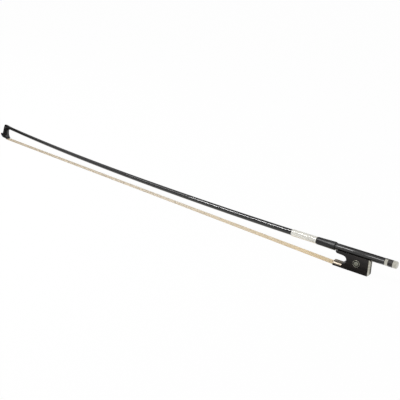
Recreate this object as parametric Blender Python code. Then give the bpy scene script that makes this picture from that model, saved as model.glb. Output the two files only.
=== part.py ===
"""Violin bow with a carbon-fibre stick, an ebony frog and silver mounts.

Lengths are in metres.  X runs along the bow from the tip to the button, Y across it and Z up.
The bow stands hair down: the flat base of the frog lies in the plane Z = 0, and the origin is
below the middle of the bow.  Stations are distances from the button end towards the tip.
"""
import math

import bmesh
import bpy
import numpy as np
from mathutils import Matrix, Vector

# Whole bow
BOW_LENGTH = 0.745
SEAT_GAP = 0.0002
SLIDING_GAP = 0.0003
CUT_REACH = 0.001
ROUND_SIDES = 16
SMOOTH_ANGLE = 35

# Stick: octagonal handle, round shaft with its camber
HANDLE_FLATS = 0.0087
HANDLE_TILT = math.radians(2.9)
HANDLE_LENGTH = 0.084
AXIS_HEIGHT_AT_HANDLE_FRONT = 0.02395
ROUND_FROM_STATION = 0.109
SHAFT_DIAMETER_AT_GRIP = 0.0084
SHAFT_DIAMETER_AT_HEAD = 0.0050
CAMBER_MIDDLE_HEIGHT = 0.0152
HEAD_AXIS_HEIGHT = 0.0214
HEAD_AXIS_SLOPE = 0.0570
SHAFT_RING_SPACING = 0.022
SECTION_POINTS = 24
NIPPLE_DIAMETER = 0.0054
NIPPLE_LENGTH = 0.0022

# Head of the stick, measured back from the nose of the tip plate
HEAD_LENGTH = 0.0300
HEAD_RIDGE_ABOVE_SHAFT = ((0.0220, 0.0009), (0.0150, 0.0018), (0.0106, 0.0004), (0.0082, -0.0042))
HEAD_BROW_ABOVE_SEAT = ((0.0060, 0.0085), (0.0043, 0.0045))
HEAD_CHIN_ABOVE_SHAFT = ((0.0256, 0.0003), (0.0216, -0.0008), (0.0190, -0.0036), (0.0178, -0.0080))
HEAD_THROAT_ABOVE_SEAT = ((0.0178, 0.0046), (0.0188, 0.0016))
HEAD_CURVE_STEPS = 3
HEAD_WIDEST_SHARE = 0.5
HEAD_RIDGE_POWER = 0.55
HEAD_BACK_NARROWING = 0.14
HEAD_TURN_SHARE = 0.55
HEAD_SETTLE_RINGS = 5.0
PLATE_LENGTH = 0.0202
PLATE_HALF_WIDTH = 0.0044
HEAD_NECK_HALF_WIDTH = 0.0026
HEAD_FLARE_HEIGHT = 0.0045
PLATE_BASE_HEIGHT = 0.0013
BEAK_LENGTH = 0.0100
BEAK_RISE = 0.0046
TIP_PLATE_THICKNESS = 0.0009
TIP_LINER_THICKNESS = 0.0005
LINER_SETBACK = 0.0007
TIP_MORTISE_START = 0.0084
TIP_MORTISE_LENGTH = 0.0082
TIP_MORTISE_HALF_WIDTH = 0.0034
TIP_MORTISE_INNER_HALF_WIDTH = 0.0024
TIP_MORTISE_DEPTH = 0.0050
TIP_PLUG_SINK_SHARE = 0.3

# Screw, its bore in the stick and the button
BUTTON_LENGTH = 0.0155
BUTTON_FLATS = 0.0087
BUTTON_RING_LENGTH = 0.0040
BUTTON_CAP_LENGTH = 0.0052
BUTTON_CAP_WALL = 0.0010
SCREW_END_INSET = BUTTON_CAP_WALL + SLIDING_GAP
BUTTON_BEVEL = 0.0005
SCREW_DIAMETER = 0.0029
SCREW_LENGTH = 0.0860
SCREW_PIVOT_DIAMETER = 0.0020
SCREW_PIVOT_LENGTH = 0.0060
SCREW_SHANK_SIDE = 0.0024
SCREW_SHANK_LENGTH = 0.0095
SCREW_CHAMFER_SHARE = 0.3

# Frog
HEEL_STATION = 0.0332
FROG_LENGTH = 0.0483
FROG_TILT = math.radians(2.2)
FROG_HALF_WIDTH_AT_BASE = 0.0061
FROG_HALF_WIDTH_AT_TOP = 0.0050
FROG_TOP_BELOW_AXIS = 0.0030
THROAT_DEPTH = 0.0178
THROAT_HEIGHT = 0.0110
THROAT_FLOOR = 0.0063
LIP_RISE = 0.0004
LIP_SETBACK = 0.0016
LIP_FRONT_RADIUS = 0.0030
HEEL_PLATE_THICKNESS = 0.0007
HEEL_PLATE_CHAMFER = 0.0003
HEEL_PLATE_BELOW_TOP = 0.0003
BASE_PLATE_LENGTH = 0.0105
UNDERSLIDE_THICKNESS = 0.00045
UNDERSLIDE_LENGTH = 0.0440
EYELET_STATION = 0.0570
EYELET_LENGTH = 0.0052
EYELET_WIDTH = 0.0044
EYELET_TOP = 0.0024
EYELET_SHANK_DIAMETER = 0.0034
EYELET_DEPTH = 0.0125
EYELET_THREAD_CLEARANCE = 0.0003
EYELET_SLOT_LENGTH = 0.0200
SADDLE_RIM_DEPTH = 0.0006
SADDLE_REACH = 0.004

# Ferrule and the tongue of the frog inside it
FERRULE_LENGTH = 0.0120
FERRULE_WIDTH = 0.0126
FERRULE_HEIGHT = 0.0060
FERRULE_SIDE_SHARE = 0.3
FERRULE_WALL = 0.0005
FERRULE_ARCH_POINTS = 14
TONGUE_FLOOR = 0.0033
TONGUE_ROOT = 0.0015
WEDGE_LENGTH = 0.0078
WEDGE_END_TAPER = 0.35
WEDGE_FLAT_SHARE = 0.3

# Slide below the frog, a pearl strip on an ebony base, both dovetailed
SLIDE_HALF_WIDTH = 0.0039
SLIDE_DOVETAIL = 0.0004
PEARL_THICKNESS = 0.0006
SLIDE_BASE_THICKNESS = 0.0008
HAIR_CHANNEL_HALF_WIDTH = 0.0042

# Mortise for the hair in the frog
FROG_MORTISE_STATION = 0.0535
FROG_MORTISE_LENGTH = 0.0100
FROG_MORTISE_HALF_WIDTH = 0.0037
FROG_MORTISE_CEILING = 0.0092

# Eyes in the two sides of the frog
EYE_STATION = 0.0499
EYE_HEIGHT = 0.0117
EYE_DIAMETER = 0.0096
EYE_RING_WIDTH = 0.0008
EYE_PEARL_DIAMETER = 0.0058
EYE_DEPTH = 0.0009
EYE_SIDES = 32

# Hair
HAIR_THICKNESS = 0.0008
HAIR_WIDTH_AT_FROG = 0.0106
HAIR_WIDTH_AT_TIP = 0.0080
HAIR_HEIGHT_AT_FROG = 0.00115
HAIR_COLUMNS = 100
HAIR_ROWS = 3
STRAND_SHARE = 0.6
KNOT_DIAMETER = 0.0022
KNOT_END_SHARE = 0.6
KNOT_SHOULDER_SHARE = 0.8
HAIR_END_BELOW_FROG_CEILING = 0.0022
HAIR_END_BELOW_TIP_CEILING = 0.0018
HAIR_BEND_STEPS = ((0.125, 0.5), (0.0, 1.75))

# Winding and thumb grip
GRIP_START_STATION = 0.0832
GRIP_LENGTH = 0.0265
GRIP_THICKNESS = 0.0007
GRIP_ROUNDING = 0.0004
WINDING_START_STATION = 0.1102
WINDING_LENGTH = 0.0378
WINDING_LOOPS = 20
WINDING_POINTS_PER_LOOP = 24
WINDING_BAND_WIDTH = 0.0014
WINDING_BAND_THICKNESS = 0.0004

# Places that follow from the sizes above
HALF_LENGTH = 0.5 * BOW_LENGTH
NOSE_X = -HALF_LENGTH
BUTTON_X = HALF_LENGTH
HEEL_X = BUTTON_X - HEEL_STATION
MOUTH_X = HEEL_X - FROG_LENGTH
FERRULE_BACK_X = MOUTH_X + FERRULE_LENGTH
HANDLE_FRONT_X = BUTTON_X - HANDLE_LENGTH * math.cos(HANDLE_TILT)
HEAD_AXIS_X = NOSE_X + HEAD_LENGTH
BUTTON_AXIS_HEIGHT = AXIS_HEIGHT_AT_HANDLE_FRONT + HANDLE_LENGTH * math.sin(HANDLE_TILT)
TIP_STACK = TIP_PLATE_THICKNESS + TIP_LINER_THICKNESS + 2 * SEAT_GAP
HAIR_HEIGHT_AT_TIP = PLATE_BASE_HEIGHT - SEAT_GAP - 0.5 * HAIR_THICKNESS
SLIDE_TOP = PEARL_THICKNESS + SEAT_GAP + SLIDE_BASE_THICKNESS
OCTAGON_TANGENT = math.tan(math.pi / 8)
HANDLE_FRAME = (Matrix.Translation((BUTTON_X, 0.0, BUTTON_AXIS_HEIGHT))
                @ Matrix.Rotation(-HANDLE_TILT, 4, "Y"))
EYELET_FRAME = HANDLE_FRAME @ Matrix.Translation((-EYELET_STATION, 0.0, 0.0))
FROG_FRAME = (Matrix.Translation((MOUTH_X, 0.0, 0.0)) @ Matrix.Rotation(-FROG_TILT, 4, "Y")
              @ Matrix.Translation((-MOUTH_X, 0.0, 0.0)))


def clear_scene():
    """Remove every object, so that the bow is modelled in an empty scene."""
    for item in list(bpy.data.objects):
        bpy.data.objects.remove(item, do_unlink=True)


def make_material(name, colour, roughness, metallic):
    """Return a plain Principled material in linear colour."""
    material = bpy.data.materials.new(name)
    material.use_nodes = True
    shader = material.node_tree.nodes["Principled BSDF"]
    shader.inputs["Base Color"].default_value = (*colour, 1.0)
    shader.inputs["Roughness"].default_value = roughness
    shader.inputs["Metallic"].default_value = metallic
    return material


def make_carrier(name, matrix):
    """Return an empty that carries the pieces of one rigid assembly."""
    carrier = bpy.data.objects.new(name, None)
    carrier.empty_display_size = 0.01
    carrier.matrix_world = matrix
    bpy.context.scene.collection.objects.link(carrier)
    return carrier


def make_piece(name, shape, material, carrier, smooth_angle=None):
    """Make one object from vertices and faces given in world places, and hang it on its carrier."""
    vertices, faces = shape
    mesh = bpy.data.meshes.new(name)
    mesh.from_pydata([tuple(point) for point in vertices], [], [tuple(face) for face in faces])
    mesh.transform(carrier.matrix_basis.inverted())
    body = bmesh.new()
    body.from_mesh(mesh)
    bmesh.ops.recalc_face_normals(body, faces=body.faces)
    body.to_mesh(mesh)
    body.free()
    if material is not None:
        mesh.materials.append(material)
    if smooth_angle is not None:
        mesh.shade_smooth()
        mesh.set_sharp_from_angle(angle=math.radians(smooth_angle))
    piece = bpy.data.objects.new(name, mesh)
    piece.parent = carrier
    bpy.context.scene.collection.objects.link(piece)
    return piece


def combine(piece, tool_shape, operation, carrier):
    """Cut a shape from a piece, or join it to the piece, with a Boolean modifier."""
    tool = make_piece(f"{piece.name}_{operation.lower()}_{len(piece.modifiers)}", tool_shape, None, carrier)
    tool.hide_render = True
    tool.display_type = "WIRE"
    modifier = piece.modifiers.new(tool.name, "BOOLEAN")
    modifier.operation = operation
    modifier.solver = "MANIFOLD" if piece.name == "frog_body" else "EXACT"
    modifier.object = tool


def loft(rings, closed_ends=True):
    """Skin a list of rings with the same number of points.

    An end is closed by strips between mirrored points of its ring, so it may be curved.
    """
    count = len(rings[0])
    vertices = [point for ring in rings for point in ring]
    faces = []
    for index in range(len(rings) - 1):
        low = index * count
        high = low + count
        for point in range(count):
            following = (point + 1) % count
            faces.append((low + point, low + following, high + following, high + point))
    if closed_ends:
        for first in (0, (len(rings) - 1) * count):
            for point in range(count // 2 - 1):
                mirrored = count - 1 - point
                faces.append((first + point, first + point + 1, first + mirrored - 1, first + mirrored))
    return vertices, faces


def tube(outer_rings, inner_rings):
    """Skin an open sleeve between outer rings and inner rings of the same count."""
    count = len(outer_rings[0])
    rings = list(outer_rings) + list(reversed(inner_rings))
    vertices = [point for ring in rings for point in ring]
    faces = []
    for index in range(len(rings)):
        low = index * count
        high = (index + 1) % len(rings) * count
        for point in range(count):
            following = (point + 1) % count
            faces.append((low + point, low + following, high + following, high + point))
    return vertices, faces


def prism(outline, half_width_of):
    """Extrude an outline in X and Z to both sides, as wide as half_width_of says at each point."""
    near = [(x, -half_width_of(z), z) for x, z in outline]
    far = [(x, half_width_of(z), z) for x, z in outline]
    count = len(outline)
    faces = [tuple(range(count)), tuple(range(2 * count - 1, count - 1, -1))]
    for point in range(count):
        following = (point + 1) % count
        faces.append((point, following, count + following, count + point))
    return near + far, faces


def block(low, high):
    """Return a box between two corners."""
    outline = [(low[0], low[2]), (high[0], low[2]), (high[0], high[2]), (low[0], high[2])]
    vertices, faces = prism(outline, lambda height: 0.5)
    placed = [(x, high[1] if y > 0 else low[1], z) for x, y, z in vertices]
    return placed, faces


def turned(profile, frame, sides, start_angle=0.0):
    """Turn a profile of (X, radius) pairs about the X axis of a frame, with closed ends."""
    rings = []
    for x, radius in profile:
        ring = []
        for side in range(sides):
            angle = start_angle + (side + 0.5) * math.tau / sides
            ring.append(frame @ Vector((x, radius * math.sin(angle), radius * math.cos(angle))))
        rings.append(ring)
    return loft(rings)


def moved(shape, matrix):
    """Return a shape moved by a matrix."""
    vertices, faces = shape
    return [matrix @ Vector(point) for point in vertices], faces


def smooth_curve(points, steps):
    """Read a Catmull-Rom curve through the points, with a number of steps to each span."""
    padded = [2 * points[0] - points[1], *points, 2 * points[-1] - points[-2]]
    curve = []
    for index in range(1, len(padded) - 2):
        before, start, end, after = padded[index - 1:index + 3]
        for step in range(steps):
            t = step / steps
            curve.append(0.5 * (2 * start + (end - before) * t
                                + (2 * before - 5 * start + 4 * end - after) * t ** 2
                                + (3 * start - before - 3 * end + after) * t ** 3))
    curve.append(points[-1])
    return curve


def stick_axis(x):
    """Return the height and slope of the stick's axis at a place along X.

    The handle is straight.  The shaft is a cubic between the handle and the head, with one added
    term that sets the height of the camber in the middle.
    """
    slope = math.tan(HANDLE_TILT)
    if x >= HANDLE_FRONT_X:
        return AXIS_HEIGHT_AT_HANDLE_FRONT + slope * (x - HANDLE_FRONT_X), slope
    span = HANDLE_FRONT_X - HEAD_AXIS_X
    t = (HANDLE_FRONT_X - x) / span
    start, end = AXIS_HEIGHT_AT_HANDLE_FRONT, HEAD_AXIS_HEIGHT
    start_rise, end_rise = -slope * span, HEAD_AXIS_SLOPE * span
    height = ((2 * t ** 3 - 3 * t ** 2 + 1) * start + (t ** 3 - 2 * t ** 2 + t) * start_rise
              + (3 * t ** 2 - 2 * t ** 3) * end + (t ** 3 - t ** 2) * end_rise)
    rise = ((6 * t ** 2 - 6 * t) * (start - end) + (3 * t ** 2 - 4 * t + 1) * start_rise
            + (3 * t ** 2 - 2 * t) * end_rise)
    middle = 0.5 * (start + end) + 0.125 * (start_rise - end_rise)
    lift = 16 * (CAMBER_MIDDLE_HEIGHT - middle)
    height += lift * t ** 2 * (1 - t) ** 2
    rise += lift * 2 * t * (1 - t) * (1 - 2 * t)
    return height, -rise / span


def handle_axis_height(x):
    """Return the height of the straight handle's axis at a place along X."""
    return AXIS_HEIGHT_AT_HANDLE_FRONT + math.tan(HANDLE_TILT) * (x - HANDLE_FRONT_X)


def stick_section(station):
    """Return the width across flats of the stick and how round it is, from 0 to 1."""
    if station <= HANDLE_LENGTH:
        return HANDLE_FLATS, 0.0
    if station < ROUND_FROM_STATION:
        share = (station - HANDLE_LENGTH) / (ROUND_FROM_STATION - HANDLE_LENGTH)
        eased = share * share * (3 - 2 * share)
        return HANDLE_FLATS + (SHAFT_DIAMETER_AT_GRIP - HANDLE_FLATS) * eased, eased
    share = (station - ROUND_FROM_STATION) / (BOW_LENGTH - HEAD_LENGTH - ROUND_FROM_STATION)
    return SHAFT_DIAMETER_AT_GRIP + (SHAFT_DIAMETER_AT_HEAD - SHAFT_DIAMETER_AT_GRIP) * share, 1.0


def octagon_radius(angle, flats):
    """Return the radius of an octagon with a flat on top, at an angle from its top."""
    folded = (angle + math.pi / 8) % (math.pi / 4) - math.pi / 8
    return 0.5 * flats / math.cos(folded)


def section_ring(x, flats, roundness):
    """Return one ring of the stick, square to its axis, at a place along X."""
    height, slope = stick_axis(x)
    tilt = math.atan(slope)
    ring = []
    for point in range(SECTION_POINTS):
        angle = (point + 0.5) * math.tau / SECTION_POINTS
        radius = (1 - roundness) * octagon_radius(angle, flats) + roundness * 0.5 * flats
        up = radius * math.cos(angle)
        ring.append(Vector((x - up * math.sin(tilt), radius * math.sin(angle), height + up * math.cos(tilt))))
    return ring


def stick_ring(station, offset=0.0):
    """Return the stick's ring at a station, grown by an offset."""
    flats, roundness = stick_section(station)
    return section_ring(BUTTON_X - station, flats + 2 * offset, roundness)


def plate_underside(back):
    """Return the height of the tip plate's underside, a distance back from its nose."""
    beak = max(0.0, 1.0 - back / BEAK_LENGTH)
    return PLATE_BASE_HEIGHT + BEAK_RISE * beak ** 2


def head_outline_width(share):
    """Return the half-width of the head's section as a share, from its front ridge to its back."""
    widest = HEAD_WIDEST_SHARE
    if share < widest:
        return (share / widest) ** HEAD_RIDGE_POWER
    return 1.0 - HEAD_BACK_NARROWING * ((share - widest) / (1 - widest)) ** 2


def plate_half_width(share):
    """Return the half-width of the tip plate, from its nose to its back."""
    return PLATE_HALF_WIDTH * head_outline_width(share)


def head_rings():
    """Return the rings of the head, from the end of the shaft round to the plate.

    Each ring lies between a point on the head's front outline and one on its throat outline.
    The ridge and the flared cheeks grow in as the rings turn down to the plate.
    """
    axis_height, slope = stick_axis(HEAD_AXIS_X)
    radius = 0.5 * SHAFT_DIAMETER_AT_HEAD
    shaft_top = axis_height + radius
    shaft_bottom = axis_height - radius
    seat = TIP_STACK + PLATE_BASE_HEIGHT
    wood_front = 2 * LINER_SETBACK
    front = [Vector((HEAD_LENGTH, shaft_top))]
    front += [Vector((back, shaft_top + rise)) for back, rise in HEAD_RIDGE_ABOVE_SHAFT]
    front += [Vector((back, seat + rise)) for back, rise in HEAD_BROW_ABOVE_SEAT]
    front.append(Vector((wood_front, plate_underside(wood_front) + TIP_STACK)))
    throat = [Vector((HEAD_LENGTH, shaft_bottom))]
    throat += [Vector((back, shaft_bottom + rise)) for back, rise in HEAD_CHIN_ABOVE_SHAFT]
    throat += [Vector((back, seat + rise)) for back, rise in HEAD_THROAT_ABOVE_SEAT]
    throat.append(Vector((PLATE_LENGTH - LINER_SETBACK, seat)))
    front_curve = smooth_curve(front, HEAD_CURVE_STEPS)
    throat_curve = smooth_curve(throat, HEAD_CURVE_STEPS)
    rings = []
    last = len(front_curve) - 1
    for index in range(1, last + 1):
        outer, inner = front_curve[index], throat_curve[index]
        middle_height = 0.5 * (outer.y + inner.y)
        turn = min(1.0, index / (HEAD_TURN_SHARE * last))
        settle = max(0.0, 1.0 - (last - index) / HEAD_SETTLE_RINGS)
        flare = math.exp(-max(0.0, middle_height - seat) / HEAD_FLARE_HEIGHT)
        half_width = HEAD_NECK_HALF_WIDTH + (PLATE_HALF_WIDTH - HEAD_NECK_HALF_WIDTH) * flare
        half_width += (radius - HEAD_NECK_HALF_WIDTH) * (1 - turn)
        if index == last:
            half_width = PLATE_HALF_WIDTH
        ring = []
        for point in range(SECTION_POINTS):
            angle = (point + 0.5) * math.tau / SECTION_POINTS
            share = 0.5 * (1 - math.cos(angle))
            place = outer + (inner - outer) * share
            shaped = math.copysign(head_outline_width(share), math.sin(angle))
            across = half_width * ((1 - turn) * math.sin(angle) + turn * shaped)
            sag = plate_underside(place.x) - PLATE_BASE_HEIGHT
            chord = (plate_underside(outer.x) - PLATE_BASE_HEIGHT) * (1 - share)
            ring.append(Vector((NOSE_X + place.x, across, place.y + settle * (sag - chord))))
        rings.append(ring)
    return rings


def stick_shape():
    """Return the whole stick: nipple, octagonal handle, cambered shaft and head."""
    nipple_flats = NIPPLE_DIAMETER
    handle_start = BUTTON_LENGTH + SLIDING_GAP
    rings = [section_ring(BUTTON_X - handle_start + NIPPLE_LENGTH, nipple_flats, 1.0),
             section_ring(BUTTON_X - handle_start, nipple_flats, 1.0),
             section_ring(BUTTON_X - handle_start, HANDLE_FLATS - 2 * BUTTON_BEVEL, 0.0),
             section_ring(BUTTON_X - handle_start - BUTTON_BEVEL, HANDLE_FLATS, 0.0),
             stick_ring(HANDLE_LENGTH)]
    transition_rings = 6
    for index in range(1, transition_rings + 1):
        station = HANDLE_LENGTH + (ROUND_FROM_STATION - HANDLE_LENGTH) * index / transition_rings
        rings.append(stick_ring(station))
    shaft_end = BOW_LENGTH - HEAD_LENGTH
    count = round((shaft_end - ROUND_FROM_STATION) / SHAFT_RING_SPACING)
    for index in range(1, count + 1):
        rings.append(stick_ring(ROUND_FROM_STATION + (shaft_end - ROUND_FROM_STATION) * index / count))
    return loft(rings + head_rings())


def tip_mortise_shape():
    """Return the tapered mortise that is cut up through the plate into the head."""
    start = NOSE_X + TIP_MORTISE_START
    end = start + TIP_MORTISE_LENGTH
    bottom = -CUT_REACH
    ceiling = PLATE_BASE_HEIGHT + TIP_STACK + TIP_MORTISE_DEPTH
    seat = PLATE_BASE_HEIGHT + TIP_STACK
    corners = ((bottom, TIP_MORTISE_HALF_WIDTH), (seat, TIP_MORTISE_HALF_WIDTH),
               (ceiling, TIP_MORTISE_INNER_HALF_WIDTH))
    rings = []
    for height, half in corners:
        rings.append([(start, half, height), (end, half, height),
                      (end, -half, height), (start, -half, height)])
    return loft(rings)


def tip_layer_shape(low, high, setback):
    """Return a thin layer under the head that follows the curve of the plate's beak."""
    def ring(height):
        length = PLATE_LENGTH - setback
        points = []
        for point in range(SECTION_POINTS):
            angle = (point + 0.5) * math.tau / SECTION_POINTS
            share = 0.5 * (1 - math.cos(angle))
            back = setback + (length - setback) * share
            across = math.copysign(plate_half_width(share), math.sin(angle))
            points.append((NOSE_X + back, across, plate_underside(back) + height))
        return points
    return loft([ring(low), ring(high)])


def octagon_prism(x0, x1, flats, bevel):
    """Return an octagonal bar in the handle's frame with a small bevel at its outer end x1."""
    rings = []
    for x, width in ((x0, flats), (x1 - bevel, flats), (x1, flats - 2 * bevel)):
        ring = []
        for corner in range(8):
            angle = (corner + 0.5) * math.pi / 4
            radius = 0.5 * width / math.cos(math.pi / 8)
            ring.append(HANDLE_FRAME @ Vector((x, radius * math.sin(angle), radius * math.cos(angle))))
        rings.append(ring)
    return loft(rings)


def bored_bar(x0, x1, flats, profile, bevel):
    """Return an octagonal bar with a turned bore right through it, given as (X, radius) pairs."""
    outer = []
    for x, width in ((x0, flats), (x1 - bevel, flats), (x1, flats - 2 * bevel)):
        ring = []
        for point in range(SECTION_POINTS):
            angle = (point + 0.5) * math.tau / SECTION_POINTS
            radius = octagon_radius(angle, width)
            ring.append(HANDLE_FRAME @ Vector((x, radius * math.sin(angle), radius * math.cos(angle))))
        outer.append(ring)
    inner = []
    for x, radius in profile:
        ring = []
        for point in range(SECTION_POINTS):
            angle = (point + 0.5) * math.tau / SECTION_POINTS
            ring.append(HANDLE_FRAME @ Vector((x, radius * math.sin(angle), radius * math.cos(angle))))
        inner.append(ring)
    return tube(outer, inner)


def trough(offset_low, offset_high, x0, x1, rim):
    """Return a bar with the three lower flats of the handle's octagon, between two offsets.

    With offset_high as None it is a solid cutter that reaches up to the axis.
    """
    def corners(offset):
        half = 0.5 * HANDLE_FLATS + offset
        side = half * (1 + OCTAGON_TANGENT) - rim
        low_corner = half * OCTAGON_TANGENT
        return [(-side, -rim), (-low_corner, -half), (low_corner, -half), (side, -rim)]
    low = corners(offset_low)
    if offset_high is None:
        section = [(low[0][0], 0.0), *low, (low[-1][0], 0.0)]
    else:
        section = low + list(reversed(corners(offset_high)))
    near = [HANDLE_FRAME @ Vector((x0, y, z)) for y, z in section]
    far = [HANDLE_FRAME @ Vector((x1, y, z)) for y, z in section]
    count = len(section)
    faces = [tuple(range(count)), tuple(range(2 * count - 1, count - 1, -1))]
    for point in range(count):
        following = (point + 1) % count
        faces.append((point, following, count + following, count + point))
    return near + far, faces


def saddle_shape():
    """Return the cutter for the seat along the frog's top, with room for the underslide."""
    seat_offset = SLIDING_GAP + UNDERSLIDE_THICKNESS + SEAT_GAP
    rim = FROG_TOP_BELOW_AXIS - SADDLE_RIM_DEPTH
    back = -HEEL_STATION + SADDLE_REACH
    front = -HEEL_STATION - FROG_LENGTH - SADDLE_REACH
    return trough(seat_offset, None, back, front, rim)


def ferrule_section(width, height, base, x, floor=None):
    """Return a ring shaped like a D lying on its flat side, at a place along X.

    The flat lies below, the sides rise a little, and a half ellipse closes the top.  With a floor,
    only the part of the arch above the floor is kept.
    """
    half = 0.5 * width
    side = base + FERRULE_SIDE_SHARE * height
    arch = (1 - FERRULE_SIDE_SHARE) * height
    ring = [(x, -half, base)] if floor is None else []
    start = 0.0 if floor is None else math.asin((floor - side) / arch)
    for point in range(FERRULE_ARCH_POINTS + 1):
        angle = math.pi - start - (math.pi - 2 * start) * point / FERRULE_ARCH_POINTS
        ring.append((x, half * math.cos(angle), side + arch * math.sin(angle)))
    if floor is None:
        ring.append((x, half, base))
    return ring


def ferrule_rings(wall_offset, x0, x1, floor=None):
    """Return two D-shaped rings, shrunk by an offset from the ferrule's outside."""
    width = FERRULE_WIDTH - 2 * wall_offset
    height = FERRULE_HEIGHT - 2 * wall_offset
    return [ferrule_section(width, height, wall_offset, x, floor) for x in (x0, x1)]


def capped(rings):
    """Skin rings and close both ends with one flat face each."""
    count = len(rings[0])
    vertices, faces = loft(rings, closed_ends=False)
    last = (len(rings) - 1) * count
    faces.append(tuple(range(count)))
    faces.append(tuple(range(last + count - 1, last - 1, -1)))
    return vertices, faces


def frog_top(x):
    """Return the height of the frog's edge along the stick, above the plane of its base."""
    height = handle_axis_height(MOUTH_X)
    axis = (height * math.cos(FROG_TILT)
            + math.tan(HANDLE_TILT - FROG_TILT) * (x - MOUTH_X - height * math.sin(FROG_TILT)))
    return axis - FROG_TOP_BELOW_AXIS


def frog_half_width(height):
    """Return the frog's half-width at a height: its sides lean in towards the stick."""
    share = height / frog_top(HEEL_X)
    return FROG_HALF_WIDTH_AT_BASE + (FROG_HALF_WIDTH_AT_TOP - FROG_HALF_WIDTH_AT_BASE) * share


def frog_outline():
    """Return the frog's side outline: base, throat arc, lip and the edge along the stick."""
    heel = HEEL_X - HEEL_PLATE_THICKNESS - SEAT_GAP
    shoulder = FERRULE_BACK_X + SEAT_GAP
    radius = 0.5 * THROAT_HEIGHT
    centre_x = MOUTH_X + THROAT_DEPTH - radius
    centre_z = THROAT_FLOOR + radius
    outline = [(heel, 0.0), (shoulder, 0.0)]
    arc_points = 14
    start = -0.5 * math.pi + math.asin(max(0.0, shoulder - centre_x) / radius)
    for index in range(arc_points + 1):
        angle = start + (0.5 * math.pi - start) * index / arc_points
        outline.append((centre_x + radius * math.cos(angle), centre_z + radius * math.sin(angle)))
    lip_x = MOUTH_X + LIP_SETBACK
    lip_z = THROAT_FLOOR + THROAT_HEIGHT + LIP_RISE
    round_points = 5
    for index in range(round_points + 1):
        angle = 0.5 * math.pi * index / round_points
        outline.append((lip_x + LIP_FRONT_RADIUS * (1 - math.sin(angle)),
                        lip_z + LIP_FRONT_RADIUS * (1 - math.cos(angle))))
    outline.append((lip_x, frog_top(lip_x)))
    outline.append((heel, frog_top(heel)))
    return outline


def heel_plate_shape():
    """Return the flat silver plate on the back of the heel, with its upright edges chamfered."""
    rings = []
    front = HEEL_X - HEEL_PLATE_THICKNESS
    for height in (0.0, frog_top(HEEL_X) - HEEL_PLATE_BELOW_TOP):
        half = frog_half_width(height)
        rings.append([(front, -half, height),
                      (HEEL_X - HEEL_PLATE_CHAMFER, -half, height),
                      (HEEL_X, -half + HEEL_PLATE_CHAMFER, height),
                      (HEEL_X, half - HEEL_PLATE_CHAMFER, height),
                      (HEEL_X - HEEL_PLATE_CHAMFER, half, height),
                      (front, half, height)])
    return capped(rings)


def slide_layer_shape(low, high, x0, x1, spare=0.0):
    """Return one layer of the dovetailed slide, wider above than below."""
    def half(height):
        return SLIDE_HALF_WIDTH + SLIDE_DOVETAIL * height / SLIDE_TOP + spare
    rings = []
    for height in (low, high):
        rings.append([(x0, -half(height), height), (x1, -half(height), height),
                      (x1, half(height), height), (x0, half(height), height)])
    return capped(rings)


def eye_frame(side):
    """Return the frame of an eye: its Z axis points out of the frog's leaning side."""
    lean = math.atan2(FROG_HALF_WIDTH_AT_BASE - FROG_HALF_WIDTH_AT_TOP, frog_top(HEEL_X))
    place = Vector((BUTTON_X - EYE_STATION, side * frog_half_width(EYE_HEIGHT), EYE_HEIGHT))
    outward = Vector((0.0, side * math.cos(lean), math.sin(lean)))
    along = Vector((1.0, 0.0, 0.0))
    across = outward.cross(along)
    turn = Matrix((along, across, outward)).transposed().to_4x4()
    return FROG_FRAME @ Matrix.Translation(place) @ turn


def disc(radius, low, high, frame, sides=EYE_SIDES):
    """Return a disc between two heights along the Z axis of a frame."""
    rings = []
    for height in (low, high):
        ring = []
        for side in range(sides):
            angle = (side + 0.5) * math.tau / sides
            ring.append(frame @ Vector((radius * math.sin(angle), radius * math.cos(angle), height)))
        rings.append(ring)
    return capped(rings)


def washer(outer_radius, inner_radius, low, high, frame):
    """Return a flat ring between two heights along the Z axis of a frame."""
    def rings(radius):
        made = []
        for height in (low, high):
            ring = []
            for side in range(EYE_SIDES):
                angle = (side + 0.5) * math.tau / EYE_SIDES
                ring.append(frame @ Vector((radius * math.sin(angle), radius * math.cos(angle), height)))
            made.append(ring)
        return made
    return tube(rings(outer_radius), rings(inner_radius))


def hair_face(width, x, middle):
    """Return the points of one end face of the hair band, and the strands' corners in it.

    Each strand is a small triangle.  The strands lie in rows, each with its base below.
    """
    half = 0.5 * width
    bottom = middle - 0.5 * HAIR_THICKNESS
    pitch = width / HAIR_COLUMNS
    row_height = HAIR_THICKNESS / HAIR_ROWS
    chains = [[(x, -half, bottom), (x, half, bottom)]]
    for row in range(HAIR_ROWS):
        base_height = bottom + (row + 0.5 * (1 - STRAND_SHARE)) * row_height
        apex_height = base_height + STRAND_SHARE * row_height
        bases, apexes = [], []
        for column in range(HAIR_COLUMNS):
            centre = -half + (column + 0.5) * pitch
            bases.append((x, centre - 0.5 * STRAND_SHARE * pitch, base_height))
            bases.append((x, centre + 0.5 * STRAND_SHARE * pitch, base_height))
            apexes.append((x, centre, apex_height))
        chains += [bases, apexes]
    chains.append([(x, -half, bottom + HAIR_THICKNESS), (x, half, bottom + HAIR_THICKNESS)])
    return chains


def zip_chains(first, second, places):
    """Return the triangles between two chains of points, both running the same way across."""
    faces = []
    i = j = 0
    while i < len(first) - 1 or j < len(second) - 1:
        take_first = j == len(second) - 1
        if i < len(first) - 1 and j < len(second) - 1:
            take_first = places[first[i + 1]][1] + places[first[i]][1] < (
                places[second[j + 1]][1] + places[second[j]][1])
        if take_first:
            faces.append((first[i], first[i + 1], second[j]))
            i += 1
        else:
            faces.append((first[i], second[j + 1], second[j]))
            j += 1
    return faces


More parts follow.
